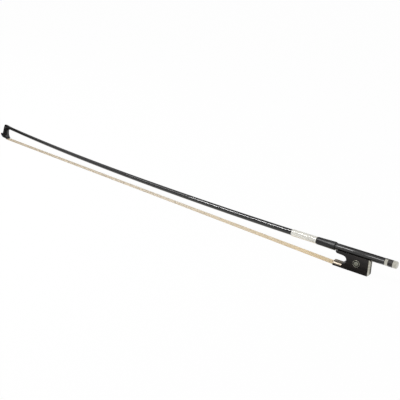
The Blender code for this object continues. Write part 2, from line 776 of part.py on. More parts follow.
def hair_shape():
    """Return the ribbon of hair: separate strands between two glued ends that turn into the mortises."""
    vertices = []
    faces = []
    ends = []
    frog_end = (HAIR_WIDTH_AT_FROG, MOUTH_X + 2 * SLIDING_GAP, HAIR_HEIGHT_AT_FROG)
    tip_end = (HAIR_WIDTH_AT_TIP, NOSE_X + PLATE_LENGTH + 2 * SLIDING_GAP, HAIR_HEIGHT_AT_TIP)
    for width, x, middle in (frog_end, tip_end):
        chains = []
        for chain in hair_face(width, x, middle):
            chains.append(list(range(len(vertices), len(vertices) + len(chain))))
            vertices += chain
        ends.append(chains)
        for index in range(len(chains) - 1):
            if index % 2 == 0:
                faces += zip_chains(chains[index], chains[index + 1], vertices)
            else:
                bases, apexes = chains[index], chains[index + 1]
                for column in range(HAIR_COLUMNS - 1):
                    faces.append((bases[2 * column + 1], bases[2 * column + 2],
                                  apexes[column + 1], apexes[column]))
        for side in (0, -1):
            inner = [chain[side] for chain in chains[1:-1]]
            low, high = chains[0][side], chains[-1][side]
            middle_point = len(inner) // 2
            for index in range(len(inner) - 1):
                corner = low if index < middle_point else high
                faces.append((corner, inner[index], inner[index + 1]))
            faces.append((low, inner[middle_point], high))
    frog_end, tip_end = ends
    for row in range(HAIR_ROWS):
        for column in range(HAIR_COLUMNS):
            corners = []
            for chains in (frog_end, tip_end):
                bases, apexes = chains[2 * row + 1], chains[2 * row + 2]
                corners.append((bases[2 * column], bases[2 * column + 1], apexes[column]))
            for index in range(3):
                following = (index + 1) % 3
                faces.append((corners[0][index], corners[0][following],
                              corners[1][following], corners[1][index]))
    for chains, path in ((frog_end, frog_hair_path()), (tip_end, tip_hair_path())):
        corner_ring = [chains[0][0], chains[0][1], chains[-1][1], chains[-1][0]]
        for place, normal, width in path:
            ring = []
            for side, up in ((-1, -1), (1, -1), (1, 1), (-1, 1)):
                ring.append(len(vertices))
                vertices.append((place.x + 0.5 * up * HAIR_THICKNESS * normal.x, side * 0.5 * width,
                                 place.y + 0.5 * up * HAIR_THICKNESS * normal.y))
            for index in range(4):
                following = (index + 1) % 4
                faces.append((corner_ring[index], corner_ring[following], ring[following], ring[index]))
            corner_ring = ring
        faces.append(tuple(corner_ring))
    return vertices, faces


def hair_path(points, widths):
    """Return places, normals and widths along a hair end that is bent like the given points."""
    path = []
    for index, place in enumerate(points):
        before = points[max(0, index - 1)]
        after = points[min(len(points) - 1, index + 1)]
        along = (after - before).normalized()
        path.append((place, Vector((-along.y, along.x)), widths[index]))
    return path


def frog_hair_path():
    """Return the hair's way from the ferrule's mouth through the channel and up into the frog."""
    channel = SLIDE_TOP + SEAT_GAP + 0.5 * HAIR_THICKNESS
    front_wall = BUTTON_X - FROG_MORTISE_STATION - 0.5 * FROG_MORTISE_LENGTH
    rise = front_wall + SEAT_GAP + 0.5 * HAIR_THICKNESS
    points = [Vector((FERRULE_BACK_X, channel)), Vector((rise - HAIR_THICKNESS, channel))]
    for before, above in HAIR_BEND_STEPS:
        points.append(Vector((rise - before * HAIR_THICKNESS, channel + above * HAIR_THICKNESS)))
    points.append(Vector((rise, FROG_MORTISE_CEILING - HAIR_END_BELOW_FROG_CEILING)))
    points = [(FROG_FRAME @ Vector((point.x, 0.0, point.y))).xz for point in points]
    channel_width = 2 * (HAIR_CHANNEL_HALF_WIDTH - SEAT_GAP)
    mortise_width = 2 * (FROG_MORTISE_HALF_WIDTH - SEAT_GAP)
    widths = [channel_width, mortise_width, mortise_width, mortise_width, mortise_width]
    return hair_path(points, widths)


def tip_hair_path():
    """Return the hair's way along the tip plate and up into the head."""
    back_wall = NOSE_X + TIP_MORTISE_START + TIP_MORTISE_LENGTH
    rise = back_wall - SEAT_GAP - 0.5 * HAIR_THICKNESS
    seat = PLATE_BASE_HEIGHT + TIP_STACK
    inner_width = 2 * (TIP_MORTISE_INNER_HALF_WIDTH - SEAT_GAP)
    outer_width = 2 * (TIP_MORTISE_HALF_WIDTH - SEAT_GAP)
    points = [Vector((rise + HAIR_THICKNESS, HAIR_HEIGHT_AT_TIP))]
    for before, above in HAIR_BEND_STEPS:
        points.append(Vector((rise + before * HAIR_THICKNESS, HAIR_HEIGHT_AT_TIP + above * HAIR_THICKNESS)))
    points.append(Vector((rise, seat)))
    points.append(Vector((rise, seat + TIP_MORTISE_DEPTH - HAIR_END_BELOW_TIP_CEILING)))
    widths = [outer_width, outer_width, outer_width, outer_width, inner_width]
    return [(place, -normal, width) for place, normal, width in hair_path(points, widths)]


def crosswise_rod(x, z, radius, half_length, sides=12):
    """Return a round rod across the bow with rounded ends."""
    shoulder = KNOT_SHOULDER_SHARE * half_length
    stations = ((-half_length, KNOT_END_SHARE), (-shoulder, 1.0), (shoulder, 1.0),
                (half_length, KNOT_END_SHARE))
    rings = []
    for y, share in stations:
        ring = []
        for side in range(sides):
            angle = (side + 0.5) * math.tau / sides
            ring.append((x + share * radius * math.cos(angle), y, z + share * radius * math.sin(angle)))
        rings.append(ring)
    return capped(rings)


def winding_shape():
    """Return the band of silver wound round the shaft, one unbroken helix with straight ends."""
    lift = SEAT_GAP + 0.5 * WINDING_BAND_THICKNESS
    steps = WINDING_LOOPS * WINDING_POINTS_PER_LOOP
    first = WINDING_START_STATION + 0.5 * WINDING_BAND_WIDTH
    travel = WINDING_LENGTH - WINDING_BAND_WIDTH
    centres, outwards, alongs = [], [], []
    for step in range(steps + 1):
        angle = math.tau * step / WINDING_POINTS_PER_LOOP
        station = first + travel * step / steps
        flats, _ = stick_section(station)
        height, slope = stick_axis(BUTTON_X - station)
        tilt = math.atan(slope)
        up = Vector((-math.sin(tilt), 0.0, math.cos(tilt)))
        outward = up * math.cos(angle) + Vector((0.0, math.sin(angle), 0.0))
        centres.append(Vector((BUTTON_X - station, 0.0, height)) + outward * (0.5 * flats + lift))
        outwards.append(outward)
        alongs.append(Vector((math.cos(tilt), 0.0, math.sin(tilt))))
    for end, inner in ((0, 1), (-1, -2)):
        tangent = (centres[end] - centres[inner]).normalized()
        straight = centres[end] + tangent * WINDING_BAND_WIDTH
        position = 0 if end == 0 else len(centres)
        centres.insert(position, straight)
        outwards.insert(position, outwards[end])
        alongs.insert(position, alongs[end])
    rings = []
    for centre, outward, along in zip(centres, outwards, alongs):
        ring = []
        for side, up in ((-1, -1), (1, -1), (1, 1), (-1, 1)):
            ring.append(centre + along * (0.5 * side * WINDING_BAND_WIDTH)
                        + outward * (0.5 * up * WINDING_BAND_THICKNESS))
        rings.append(ring)
    report_least_gap(rings)
    return capped(rings)


def report_least_gap(rings):
    """Print the least distance between points of the winding that lie a loop or more apart."""
    points = np.array([[tuple(point) for point in ring] for ring in rings])
    least = math.inf
    for index in range(len(rings) - WINDING_POINTS_PER_LOOP + 1):
        later = points[index + WINDING_POINTS_PER_LOOP - 1:index + 2 * WINDING_POINTS_PER_LOOP].reshape(-1, 3)
        if len(later) == 0:
            continue
        distances = np.linalg.norm(points[index][:, None, :] - later[None, :, :], axis=2)
        least = min(least, float(distances.min()))
    print(f"least gap between loops of the winding: {least * 1000:.2f} mm")


def grip_shape():
    """Return the sleeve of the thumb grip, with its outer edges rounded."""
    inner_offset = SEAT_GAP
    outer_offset = SEAT_GAP + GRIP_THICKNESS
    end = GRIP_START_STATION + GRIP_LENGTH
    outer = [stick_ring(GRIP_START_STATION, outer_offset - GRIP_ROUNDING),
             stick_ring(GRIP_START_STATION + GRIP_ROUNDING, outer_offset)]
    inner = [stick_ring(GRIP_START_STATION, inner_offset)]
    middle_rings = 7
    for index in range(1, middle_rings):
        station = GRIP_START_STATION + GRIP_LENGTH * index / middle_rings
        outer.append(stick_ring(station, outer_offset))
        inner.append(stick_ring(station, inner_offset))
    outer += [stick_ring(end - GRIP_ROUNDING, outer_offset), stick_ring(end, outer_offset - GRIP_ROUNDING)]
    inner.append(stick_ring(end, inner_offset))
    return tube(outer, inner)


def build_stick(carrier, finish):
    """Build the stick with its bores and mortises, and what is fixed to it."""
    stick = make_piece("stick", stick_shape(), finish["carbon"], carrier, SMOOTH_ANGLE)
    bore = 0.5 * SCREW_DIAMETER + SLIDING_GAP
    pivot = 0.5 * SCREW_PIVOT_DIAMETER + SLIDING_GAP
    screw_front = -SCREW_LENGTH - SCREW_END_INSET
    shoulder = screw_front + SCREW_PIVOT_LENGTH - SLIDING_GAP
    bearing_end = screw_front - 2 * SLIDING_GAP
    bore_shape = turned([(CUT_REACH, bore), (shoulder, bore), (shoulder, pivot), (bearing_end, pivot)],
                        HANDLE_FRAME, ROUND_SIDES)
    combine(stick, bore_shape, "DIFFERENCE", carrier)
    slot_half = 0.5 * EYELET_WIDTH + SLIDING_GAP
    slot_x = -EYELET_STATION
    slot = block((slot_x - 0.5 * EYELET_SLOT_LENGTH, -slot_half, -HANDLE_FLATS),
                 (slot_x + 0.5 * EYELET_SLOT_LENGTH, slot_half, EYELET_TOP + SLIDING_GAP))
    combine(stick, moved(slot, HANDLE_FRAME), "DIFFERENCE", carrier)
    combine(stick, tip_mortise_shape(), "DIFFERENCE", carrier)

    plate = make_piece("tip_plate", tip_layer_shape(0.0, TIP_PLATE_THICKNESS, 0.0),
                       finish["black_plate"], carrier, SMOOTH_ANGLE)
    liner_low = TIP_PLATE_THICKNESS + SEAT_GAP
    liner_shape = tip_layer_shape(liner_low, liner_low + TIP_LINER_THICKNESS, LINER_SETBACK)
    liner = make_piece("tip_liner", liner_shape, finish["fibre"], carrier, SMOOTH_ANGLE)
    for layer in (plate, liner):
        combine(layer, tip_mortise_shape(), "DIFFERENCE", carrier)

    seat = PLATE_BASE_HEIGHT + TIP_STACK
    start = NOSE_X + TIP_MORTISE_START
    end = start + TIP_MORTISE_LENGTH
    plug_back = end - HAIR_THICKNESS - 2 * SEAT_GAP
    knot_z = seat + TIP_MORTISE_DEPTH - SEAT_GAP - 0.5 * KNOT_DIAMETER
    plug_top = knot_z - 0.5 * KNOT_DIAMETER - SEAT_GAP
    plug_bottom = PLATE_BASE_HEIGHT + TIP_PLUG_SINK_SHARE * TIP_PLATE_THICKNESS
    plug_outline = [(start + SEAT_GAP, plug_bottom), (plug_back, plug_bottom),
                    (plug_back, plug_top), (start + SEAT_GAP, plug_top)]
    slope = (TIP_MORTISE_HALF_WIDTH - TIP_MORTISE_INNER_HALF_WIDTH) / TIP_MORTISE_DEPTH
    plug_half = TIP_MORTISE_HALF_WIDTH - SLIDING_GAP
    make_piece("tip_hair_plug",
               prism(plug_outline, lambda height: plug_half - slope * max(0.0, height - seat)),
               finish["maple"], carrier)
    knot_half = TIP_MORTISE_INNER_HALF_WIDTH - SEAT_GAP
    make_piece("tip_hair_knot", crosswise_rod(plug_back - 0.5 * KNOT_DIAMETER, knot_z,
                                              0.5 * KNOT_DIAMETER, knot_half),
               finish["knot"], carrier, SMOOTH_ANGLE)
    make_piece("silver_winding", winding_shape(), finish["silver"], carrier)
    make_piece("thumb_grip", grip_shape(), finish["grip"], carrier, SMOOTH_ANGLE)


def build_screw(carrier, finish):
    """Build the adjusting screw and the three parts of its button."""
    core_radius = 0.5 * SCREW_SHANK_SIDE * math.sqrt(2) + SLIDING_GAP
    nipple = 0.5 * NIPPLE_DIAMETER + SLIDING_GAP
    ring_front = -BUTTON_LENGTH
    ring_back = ring_front + BUTTON_RING_LENGTH
    core_back = -BUTTON_CAP_LENGTH - SEAT_GAP
    recess = ring_front + NIPPLE_LENGTH + 2 * SLIDING_GAP
    make_piece("button_front_ring",
               bored_bar(ring_front, ring_back, BUTTON_FLATS,
                         [(ring_front, nipple), (recess, nipple), (recess, core_radius),
                          (ring_back, core_radius)], 0.5 * BUTTON_BEVEL),
               finish["silver"], carrier)
    core_front = ring_back + SEAT_GAP
    make_piece("button_core",
               bored_bar(core_front, core_back, BUTTON_FLATS,
                         [(core_front, core_radius), (core_back, core_radius)], 0.5 * BUTTON_BEVEL),
               finish["ebony"], carrier)
    cap_shape = octagon_prism(-BUTTON_CAP_LENGTH, 0.0, BUTTON_FLATS, BUTTON_BEVEL)
    cap = make_piece("button_end_cap", cap_shape, finish["silver"], carrier)
    cap_bore = [(-BUTTON_CAP_LENGTH - CUT_REACH, core_radius), (-BUTTON_CAP_WALL, core_radius)]
    combine(cap, turned(cap_bore, HANDLE_FRAME, ROUND_SIDES), "DIFFERENCE", carrier)
    half = 0.5 * SCREW_DIAMETER
    pivot = 0.5 * SCREW_PIVOT_DIAMETER
    back = -SCREW_END_INSET
    shank_end = back - SCREW_SHANK_LENGTH
    front = back - SCREW_LENGTH
    shoulder = front + SCREW_PIVOT_LENGTH
    profile = [(shank_end, half), (shoulder + SCREW_CHAMFER_SHARE * half, half), (shoulder, pivot),
               (front + SCREW_CHAMFER_SHARE * pivot, pivot), (front, 0.5 * pivot)]
    screw = make_piece("adjusting_screw", turned(profile, HANDLE_FRAME, ROUND_SIDES),
                       finish["steel"], carrier, SMOOTH_ANGLE)
    side = 0.5 * SCREW_SHANK_SIDE
    shank = block((shank_end - 0.5 * half, -side, -side), (back, side, side))
    combine(screw, moved(shank, HANDLE_FRAME), "UNION", carrier)


def frog_channel_shapes():
    """Return the cutters for the hair's way into the frog: channel, groove for the slide, mortise."""
    mortise_x = BUTTON_X - FROG_MORTISE_STATION
    mouth = MOUTH_X - CUT_REACH
    channel = block((mouth, -HAIR_CHANNEL_HALF_WIDTH, 0.5 * SLIDE_TOP),
                    (mortise_x, HAIR_CHANNEL_HALF_WIDTH, SLIDE_TOP + HAIR_THICKNESS + 3 * SEAT_GAP))
    groove = slide_layer_shape(-0.5 * CUT_REACH, SLIDE_TOP + SEAT_GAP, FERRULE_BACK_X - CUT_REACH,
                               HEEL_X + CUT_REACH, SEAT_GAP)
    mortise = block((mortise_x - 0.5 * FROG_MORTISE_LENGTH, -FROG_MORTISE_HALF_WIDTH, 0.5 * SLIDE_TOP),
                    (mortise_x + 0.5 * FROG_MORTISE_LENGTH, FROG_MORTISE_HALF_WIDTH, FROG_MORTISE_CEILING))
    return channel, groove, mortise


def build_frog_body(carrier, finish):
    """Build the ebony frog with its tongue, channels, mortise and pockets."""
    frog = make_piece("frog_body", moved(prism(frog_outline(), frog_half_width), FROG_FRAME),
                      finish["ebony"], carrier, SMOOTH_ANGLE)
    tongue = capped(ferrule_rings(FERRULE_WALL + SEAT_GAP, MOUTH_X + 2 * SLIDING_GAP,
                                  FERRULE_BACK_X + TONGUE_ROOT, TONGUE_FLOOR))
    combine(frog, moved(tongue, FROG_FRAME), "UNION", carrier)
    combine(frog, saddle_shape(), "DIFFERENCE", carrier)
    for tool in frog_channel_shapes():
        combine(frog, moved(tool, FROG_FRAME), "DIFFERENCE", carrier)
    shank_hole = disc(0.5 * EYELET_SHANK_DIAMETER + SLIDING_GAP, -EYELET_DEPTH - SLIDING_GAP, 0.0,
                      EYELET_FRAME, ROUND_SIDES)
    combine(frog, shank_hole, "DIFFERENCE", carrier)
    floor = -EYE_DEPTH - SEAT_GAP
    ring_outer = 0.5 * EYE_DIAMETER + SEAT_GAP
    ring_inner = 0.5 * EYE_DIAMETER - EYE_RING_WIDTH - SEAT_GAP
    for side in (-1, 1):
        frame = eye_frame(side)
        pearl_pocket = disc(0.5 * EYE_PEARL_DIAMETER + SEAT_GAP, floor, CUT_REACH, frame)
        combine(frog, washer(ring_outer, ring_inner, floor, CUT_REACH, frame), "DIFFERENCE", carrier)
        combine(frog, pearl_pocket, "DIFFERENCE", carrier)


def build_eyelet(carrier, finish):
    """Build the silver underslide and the brass eyelet that the screw pulls along."""
    back = -HEEL_STATION - HEEL_PLATE_THICKNESS
    lining_shape = trough(SLIDING_GAP, SLIDING_GAP + UNDERSLIDE_THICKNESS, back,
                          back - UNDERSLIDE_LENGTH, FROG_TOP_BELOW_AXIS)
    lining = make_piece("frog_underslide", lining_shape, finish["silver"], carrier)
    shank_radius = 0.5 * EYELET_SHANK_DIAMETER
    combine(lining, disc(shank_radius + SLIDING_GAP, -HANDLE_FLATS, 0.0, EYELET_FRAME, ROUND_SIDES),
            "DIFFERENCE", carrier)
    block_floor = -0.5 * HANDLE_FLATS + SLIDING_GAP
    half_length = 0.5 * EYELET_LENGTH
    half_width = 0.5 * EYELET_WIDTH
    head = block((-half_length, -half_width, block_floor), (half_length, half_width, EYELET_TOP))
    eyelet = make_piece("eyelet", moved(head, EYELET_FRAME), finish["brass"], carrier)
    shank_top = block_floor + 0.5 * CUT_REACH
    combine(eyelet, disc(shank_radius, -EYELET_DEPTH, shank_top, EYELET_FRAME, ROUND_SIDES),
            "UNION", carrier)
    hole = 0.5 * SCREW_DIAMETER + 0.5 * EYELET_THREAD_CLEARANCE
    combine(eyelet, turned([(half_length + CUT_REACH, hole), (-half_length - CUT_REACH, hole)],
                           EYELET_FRAME, ROUND_SIDES), "DIFFERENCE", carrier)


def build_ferrule(carrier, finish):
    """Build the ferrule and the wedge that spreads the hair in it."""
    outer = ferrule_rings(0.0, MOUTH_X, FERRULE_BACK_X)
    inner = ferrule_rings(FERRULE_WALL, MOUTH_X, FERRULE_BACK_X)
    make_piece("ferrule", moved(tube(outer, inner), FROG_FRAME), finish["silver"], carrier,
               SMOOTH_ANGLE)
    hair_top = HAIR_HEIGHT_AT_FROG + 0.5 * HAIR_THICKNESS + SEAT_GAP
    channel_hair_top = SLIDE_TOP + SEAT_GAP + HAIR_THICKNESS + SEAT_GAP
    front = MOUTH_X + 2 * SLIDING_GAP
    back = front + WEDGE_LENGTH
    top = TONGUE_FLOOR - SEAT_GAP
    back_floor = hair_top + (channel_hair_top - hair_top) * WEDGE_LENGTH / (FERRULE_LENGTH - 2 * SLIDING_GAP)
    half = 0.5 * FERRULE_WIDTH - FERRULE_WALL - 2 * SEAT_GAP
    back_top = back_floor + WEDGE_END_TAPER * (top - back_floor)
    flat_end = front + WEDGE_FLAT_SHARE * WEDGE_LENGTH
    outline = [(front, hair_top), (back, back_floor), (back, back_top), (flat_end, top), (front, top)]
    wedge = moved(prism(outline, lambda height: half), FROG_FRAME)
    make_piece("ferrule_wedge", wedge, finish["maple"], carrier)


def build_slide(carrier, finish):
    """Build the pearl slide with its ebony base, and the two silver plates of the heel."""
    front = FERRULE_BACK_X + SEAT_GAP
    plate_front = HEEL_X - BASE_PLATE_LENGTH
    plate_back = HEEL_X - HEEL_PLATE_THICKNESS - SEAT_GAP
    layers = (("pearl_slide", 0.0, PEARL_THICKNESS, front, plate_front - SEAT_GAP, "pearl"),
              ("heel_base_plate", 0.0, PEARL_THICKNESS, plate_front, plate_back, "silver"),
              ("slide_base", PEARL_THICKNESS + SEAT_GAP, SLIDE_TOP, front, plate_back, "ebony"))
    for name, low, high, x0, x1, kind in layers:
        make_piece(name, moved(slide_layer_shape(low, high, x0, x1), FROG_FRAME), finish[kind], carrier)
    heel_plate = make_piece("heel_plate", moved(heel_plate_shape(), FROG_FRAME), finish["silver"], carrier)
    combine(heel_plate, saddle_shape(), "DIFFERENCE", carrier)


def build_frog_hair_lock(carrier, finish):
    """Build the plug and the tied end of the hair in the frog's mortise."""
    mortise_x = BUTTON_X - FROG_MORTISE_STATION
    front = mortise_x - 0.5 * FROG_MORTISE_LENGTH + HAIR_THICKNESS + 2 * SEAT_GAP
    back = mortise_x + 0.5 * FROG_MORTISE_LENGTH - SEAT_GAP
    radius = 0.5 * KNOT_DIAMETER
    knot_z = FROG_MORTISE_CEILING - SEAT_GAP - radius
    half = FROG_MORTISE_HALF_WIDTH - SEAT_GAP
    plug = block((front, -half, SLIDE_TOP + 2 * SEAT_GAP), (back, half, knot_z - radius - SEAT_GAP))
    make_piece("frog_hair_plug", moved(plug, FROG_FRAME), finish["maple"], carrier)
    make_piece("frog_hair_knot", moved(crosswise_rod(front + radius, knot_z, radius, half), FROG_FRAME),
               finish["knot"], carrier, SMOOTH_ANGLE)


def build_frog(carrier, finish):
    """Build the frog and everything that is fixed to it."""
    build_frog_body(carrier, finish)
    build_eyelet(carrier, finish)
    build_ferrule(carrier, finish)
    build_slide(carrier, finish)
    build_frog_hair_lock(carrier, finish)
    for side, word in ((-1, "left"), (1, "right")):
        frame = eye_frame(side)
        ring = washer(0.5 * EYE_DIAMETER, 0.5 * EYE_DIAMETER - EYE_RING_WIDTH, -EYE_DEPTH, 0.0, frame)
        make_piece(f"eye_ring_{word}", ring, finish["silver"], carrier, SMOOTH_ANGLE)
        make_piece(f"eye_pearl_{word}", disc(0.5 * EYE_PEARL_DIAMETER, -EYE_DEPTH, 0.0, frame),
                   finish["pearl"], carrier, SMOOTH_ANGLE)
    make_piece("hair_ribbon", hair_shape(), finish["hair"], carrier)


def main():
    """Build the whole bow."""
    clear_scene()
    finish = {
        "carbon": make_material("black_carbon_fibre", (0.012, 0.012, 0.013), 0.22, 0.0),
        "ebony": make_material("ebony", (0.011, 0.010, 0.009), 0.34, 0.0),
        "silver": make_material("silver", (0.80, 0.79, 0.76), 0.22, 1.0),
        "steel": make_material("steel", (0.55, 0.55, 0.55), 0.35, 1.0),
        "brass": make_material("brass", (0.70, 0.52, 0.24), 0.35, 1.0),
        "pearl": make_material("mother_of_pearl", (0.78, 0.78, 0.74), 0.20, 0.0),
        "maple": make_material("maple", (0.60, 0.44, 0.26), 0.60, 0.0),
        "knot": make_material("waxed_thread", (0.45, 0.30, 0.16), 0.70, 0.0),
        "black_plate": make_material("black_tip_plate", (0.015, 0.015, 0.015), 0.30, 0.0),
        "fibre": make_material("black_fibre", (0.020, 0.020, 0.020), 0.50, 0.0),
        "grip": make_material("black_grip", (0.016, 0.016, 0.016), 0.55, 0.0),
        "hair": make_material("bow_hair", (0.66, 0.57, 0.44), 0.45, 0.0),
    }
    stick_carrier = make_carrier("stick_carrier", Matrix.Identity(4))
    frog_carrier = make_carrier("frog_slide_axis", EYELET_FRAME)
    screw_carrier = make_carrier("screw_axis", HANDLE_FRAME)
    build_stick(stick_carrier, finish)
    build_frog(frog_carrier, finish)
    build_screw(screw_carrier, finish)


if __name__ == "__main__":
    main()
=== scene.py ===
"""Looks of a slack full-size violin bow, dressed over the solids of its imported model.

Lengths are in metres, or in millimetres where a name ends in mm.  X runs from the head to the
button, and Z from the hair to the stick.
"""

from __future__ import annotations

import logging
import math
from dataclasses import dataclass
from enum import Enum
from functools import cached_property

import bmesh
import bpy
import numpy as np
from bpy.types import ID, Material, Mesh, Node, NodeSocket, NodeTree, Object
from mathutils import Matrix

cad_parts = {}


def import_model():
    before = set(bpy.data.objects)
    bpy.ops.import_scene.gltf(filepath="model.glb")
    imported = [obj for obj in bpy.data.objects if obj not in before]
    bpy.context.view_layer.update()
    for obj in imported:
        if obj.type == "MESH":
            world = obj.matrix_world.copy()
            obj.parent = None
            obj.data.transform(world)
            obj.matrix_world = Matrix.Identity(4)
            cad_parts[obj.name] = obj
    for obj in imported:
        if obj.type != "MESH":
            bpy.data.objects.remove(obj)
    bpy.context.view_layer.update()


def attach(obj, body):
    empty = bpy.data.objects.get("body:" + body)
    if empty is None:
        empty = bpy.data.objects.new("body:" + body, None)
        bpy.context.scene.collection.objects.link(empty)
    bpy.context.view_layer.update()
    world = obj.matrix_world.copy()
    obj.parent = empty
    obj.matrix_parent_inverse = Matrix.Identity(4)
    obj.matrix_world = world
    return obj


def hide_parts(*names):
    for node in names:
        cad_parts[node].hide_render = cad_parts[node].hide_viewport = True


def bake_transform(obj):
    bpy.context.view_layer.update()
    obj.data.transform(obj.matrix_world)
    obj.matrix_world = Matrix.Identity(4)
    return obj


LOG = logging.getLogger("violin_bow")

MM = 0.001
QUARTER_TURN = 0.5 * math.pi
HALF_TURN = math.pi
FULL_TURN = 2 * math.pi
# Angle that one side of an octagon takes up.
OCTAGON_SIDE = math.pi / 4
# Directions of the bow's length, width and height.
ALONG, ACROSS, UPRIGHT = np.eye(3)
EVEN_SCALE = np.ones(3)
# Points of a whole curve and of a rounded corner.
CURVE_POINTS = 96
CORNER_POINTS = 6
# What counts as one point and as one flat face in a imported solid's triangles.
MERGE_DISTANCE = 0.002 * MM
FLAT_ANGLE = math.radians(0.5)

Point = tuple[float, float, float]
Steps = tuple[tuple[float, str], ...]
Profile = tuple[tuple[float, float], ...]
Skin = tuple[tuple[str, float], ...]


class Body(Enum):
    """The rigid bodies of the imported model."""

    STICK = "stick"
    FROG = "frog"
    SCREW = "screw"


# Shared line of the stick


@dataclass(frozen=True)
class StickLine:
    """The axis and the section of the stick, from the button's end to the head."""

    bow_length: float = 0.745
    handle_tilt: float = math.radians(2.9)
    handle_length: float = 0.084
    handle_flats: float = 0.0087
    handle_front_height: float = 0.02395
    round_from: float = 0.109
    shaft_at_grip: float = 0.0084
    shaft_at_head: float = 0.0050
    handle_softness: float = 0.3
    camber_height: float = 0.0152
    head_length: float = 0.0300
    head_height: float = 0.0214
    head_slope: float = 0.0570

    @property
    def button_x(self) -> float:
        """Place of the button's end along X."""
        return 0.5 * self.bow_length

    @property
    def nose_x(self) -> float:
        """Place of the tip plate's nose along X."""
        return -0.5 * self.bow_length

    @property
    def handle_front_x(self) -> float:
        """Place along X where the straight handle ends."""
        return self.button_x - self.handle_length * math.cos(self.handle_tilt)

    def handle_frame(self) -> np.ndarray:
        """Frame at the button's end, whose X axis is the handle's and points out of the bow.

        Returns:
            The frame.
        """
        rise = self.handle_length * math.sin(self.handle_tilt)
        return (translation(self.button_x, 0.0, self.handle_front_height + rise)
                @ turn_about_y(-self.handle_tilt))

    def axis(self, x: np.ndarray) -> tuple[np.ndarray, np.ndarray]:
        """Height and slope of the axis.

        The handle is a straight line.  The shaft is a cubic set by the heights and slopes at the
        handle's front and at the head, plus a bump t^2 (1 - t)^2 that sets the camber's height in
        the middle.

        Args:
            x: places along X.

        Returns:
            The heights and the slopes there.
        """
        slope = math.tan(self.handle_tilt)
        span = self.handle_front_x - (self.nose_x + self.head_length)
        t = (self.handle_front_x - x) / span
        start, end = self.handle_front_height, self.head_height
        start_rise, end_rise = -slope * span, self.head_slope * span
        height = ((2 * t**3 - 3 * t**2 + 1) * start + (t**3 - 2 * t**2 + t) * start_rise
                  + (3 * t**2 - 2 * t**3) * end + (t**3 - t**2) * end_rise)
        rise = ((6 * t**2 - 6 * t) * (start - end) + (3 * t**2 - 4 * t + 1) * start_rise
                + (3 * t**2 - 2 * t) * end_rise)
        middle = 0.5 * (start + end) + 0.125 * (start_rise - end_rise)
        lift = 16 * (self.camber_height - middle)
        height = height + lift * t**2 * (1 - t) ** 2
        rise = rise + lift * 2 * t * (1 - t) * (1 - 2 * t)
        straight = x >= self.handle_front_x
        flat_height = self.handle_front_height + slope * (x - self.handle_front_x)
        return np.where(straight, flat_height, height), np.where(straight, slope, -rise / span)

    def section(self, station: np.ndarray) -> tuple[np.ndarray, np.ndarray]:
        """Width across flats, and roundness from 0 for an octagon to 1 for a circle.

        The lacquer softens the octagon of the handle, so its sides are slightly convex.

        Args:
            station: distances from the button's end.

        Returns:
            The widths and the roundnesses.
        """
        run = self.round_from - self.handle_length
        share = np.clip((station - self.handle_length) / run, 0, 1)
        eased = share * share * (3 - 2 * share)
        handle = self.handle_flats + (self.shaft_at_grip - self.handle_flats) * eased
        shaft_length = self.bow_length - self.head_length - self.round_from
        shaft = (self.shaft_at_grip + (self.shaft_at_head - self.shaft_at_grip)
                 * (station - self.round_from) / shaft_length)
        roundness = self.handle_softness + (1 - self.handle_softness) * eased
        return np.where(station < self.round_from, handle, shaft), roundness

    def rings(self, x: np.ndarray, flats: np.ndarray, roundness: np.ndarray,
              count: int) -> np.ndarray:
        """Rings square to the axis: an octagon mixed with a circle by the roundness.

        Args:
            x: places along X of the ring centres.
            flats: widths across flats.
            roundness: shares of the circle.
            count: points round each ring.

        Returns:
            An array of rings, points and coordinates.
        """
        height, slope = self.axis(x)
        tilt = np.arctan(slope)[:, None]
        angle = ring_angles(count)
        folded = (angle + 0.5 * OCTAGON_SIDE) % OCTAGON_SIDE - 0.5 * OCTAGON_SIDE
        octagon = 0.5 * flats[:, None] / np.cos(folded)[None, :]
        radius = (1 - roundness[:, None]) * octagon + roundness[:, None] * 0.5 * flats[:, None]
        up = radius * np.cos(angle)
        return np.stack([x[:, None] - up * np.sin(tilt), radius * np.sin(angle),
                         height[:, None] + up * np.cos(tilt)], axis=-1)

    def grown_rings(self, stations: np.ndarray, offset: np.ndarray | float,
                    count: int) -> np.ndarray:
        """Rings of the stick grown outwards by an offset.

        Args:
            stations: distances from the button's end.
            offset: growth of the radius.
            count: points round each ring.

        Returns:
            An array of rings, points and coordinates.
        """
        flats, roundness = self.section(stations)
        return self.rings(self.button_x - stations, flats + 2 * offset, roundness, count)


LINE = StickLine()


# Small tools for numbers


def translation(x: float, y: float, z: float) -> np.ndarray:
    """Matrix that moves a point by x, y and z."""
    return np.array(Matrix.Translation((x, y, z)))


def turn_about_y(angle: float) -> np.ndarray:
    """Matrix that turns a point about the Y axis."""
    return np.array(Matrix.Rotation(angle, 4, "Y"))


def placed(points: np.ndarray, frame: np.ndarray) -> np.ndarray:
    """Points moved by a 4 by 4 frame, for an array whose last axis is x, y, z."""
    return points @ frame[:3, :3].T + frame[:3, 3]


def ring_angles(count: int) -> np.ndarray:
    """Angles of the points round a ring, from half a step on."""
    return (np.arange(count) + 0.5) * FULL_TURN / count


def tube_rings(centre: np.ndarray, first: np.ndarray, second: np.ndarray,
               radius: np.ndarray | float, sides: int) -> np.ndarray:
    """Round rings about the points of a line, by cosine and sine of two directions.

    Args:
        centre: points of the line.
        first: direction that goes with the cosine, one for all points or one each.
        second: direction that goes with the sine.
        radius: radius of the rings.
        sides: points round each ring.

    Returns:
        An array of rings, points and coordinates.
    """
    angle = ring_angles(sides)[:, None]
    return (centre[..., None, :] + radius * np.cos(angle) * first[..., None, :]
            + radius * np.sin(angle) * second[..., None, :])


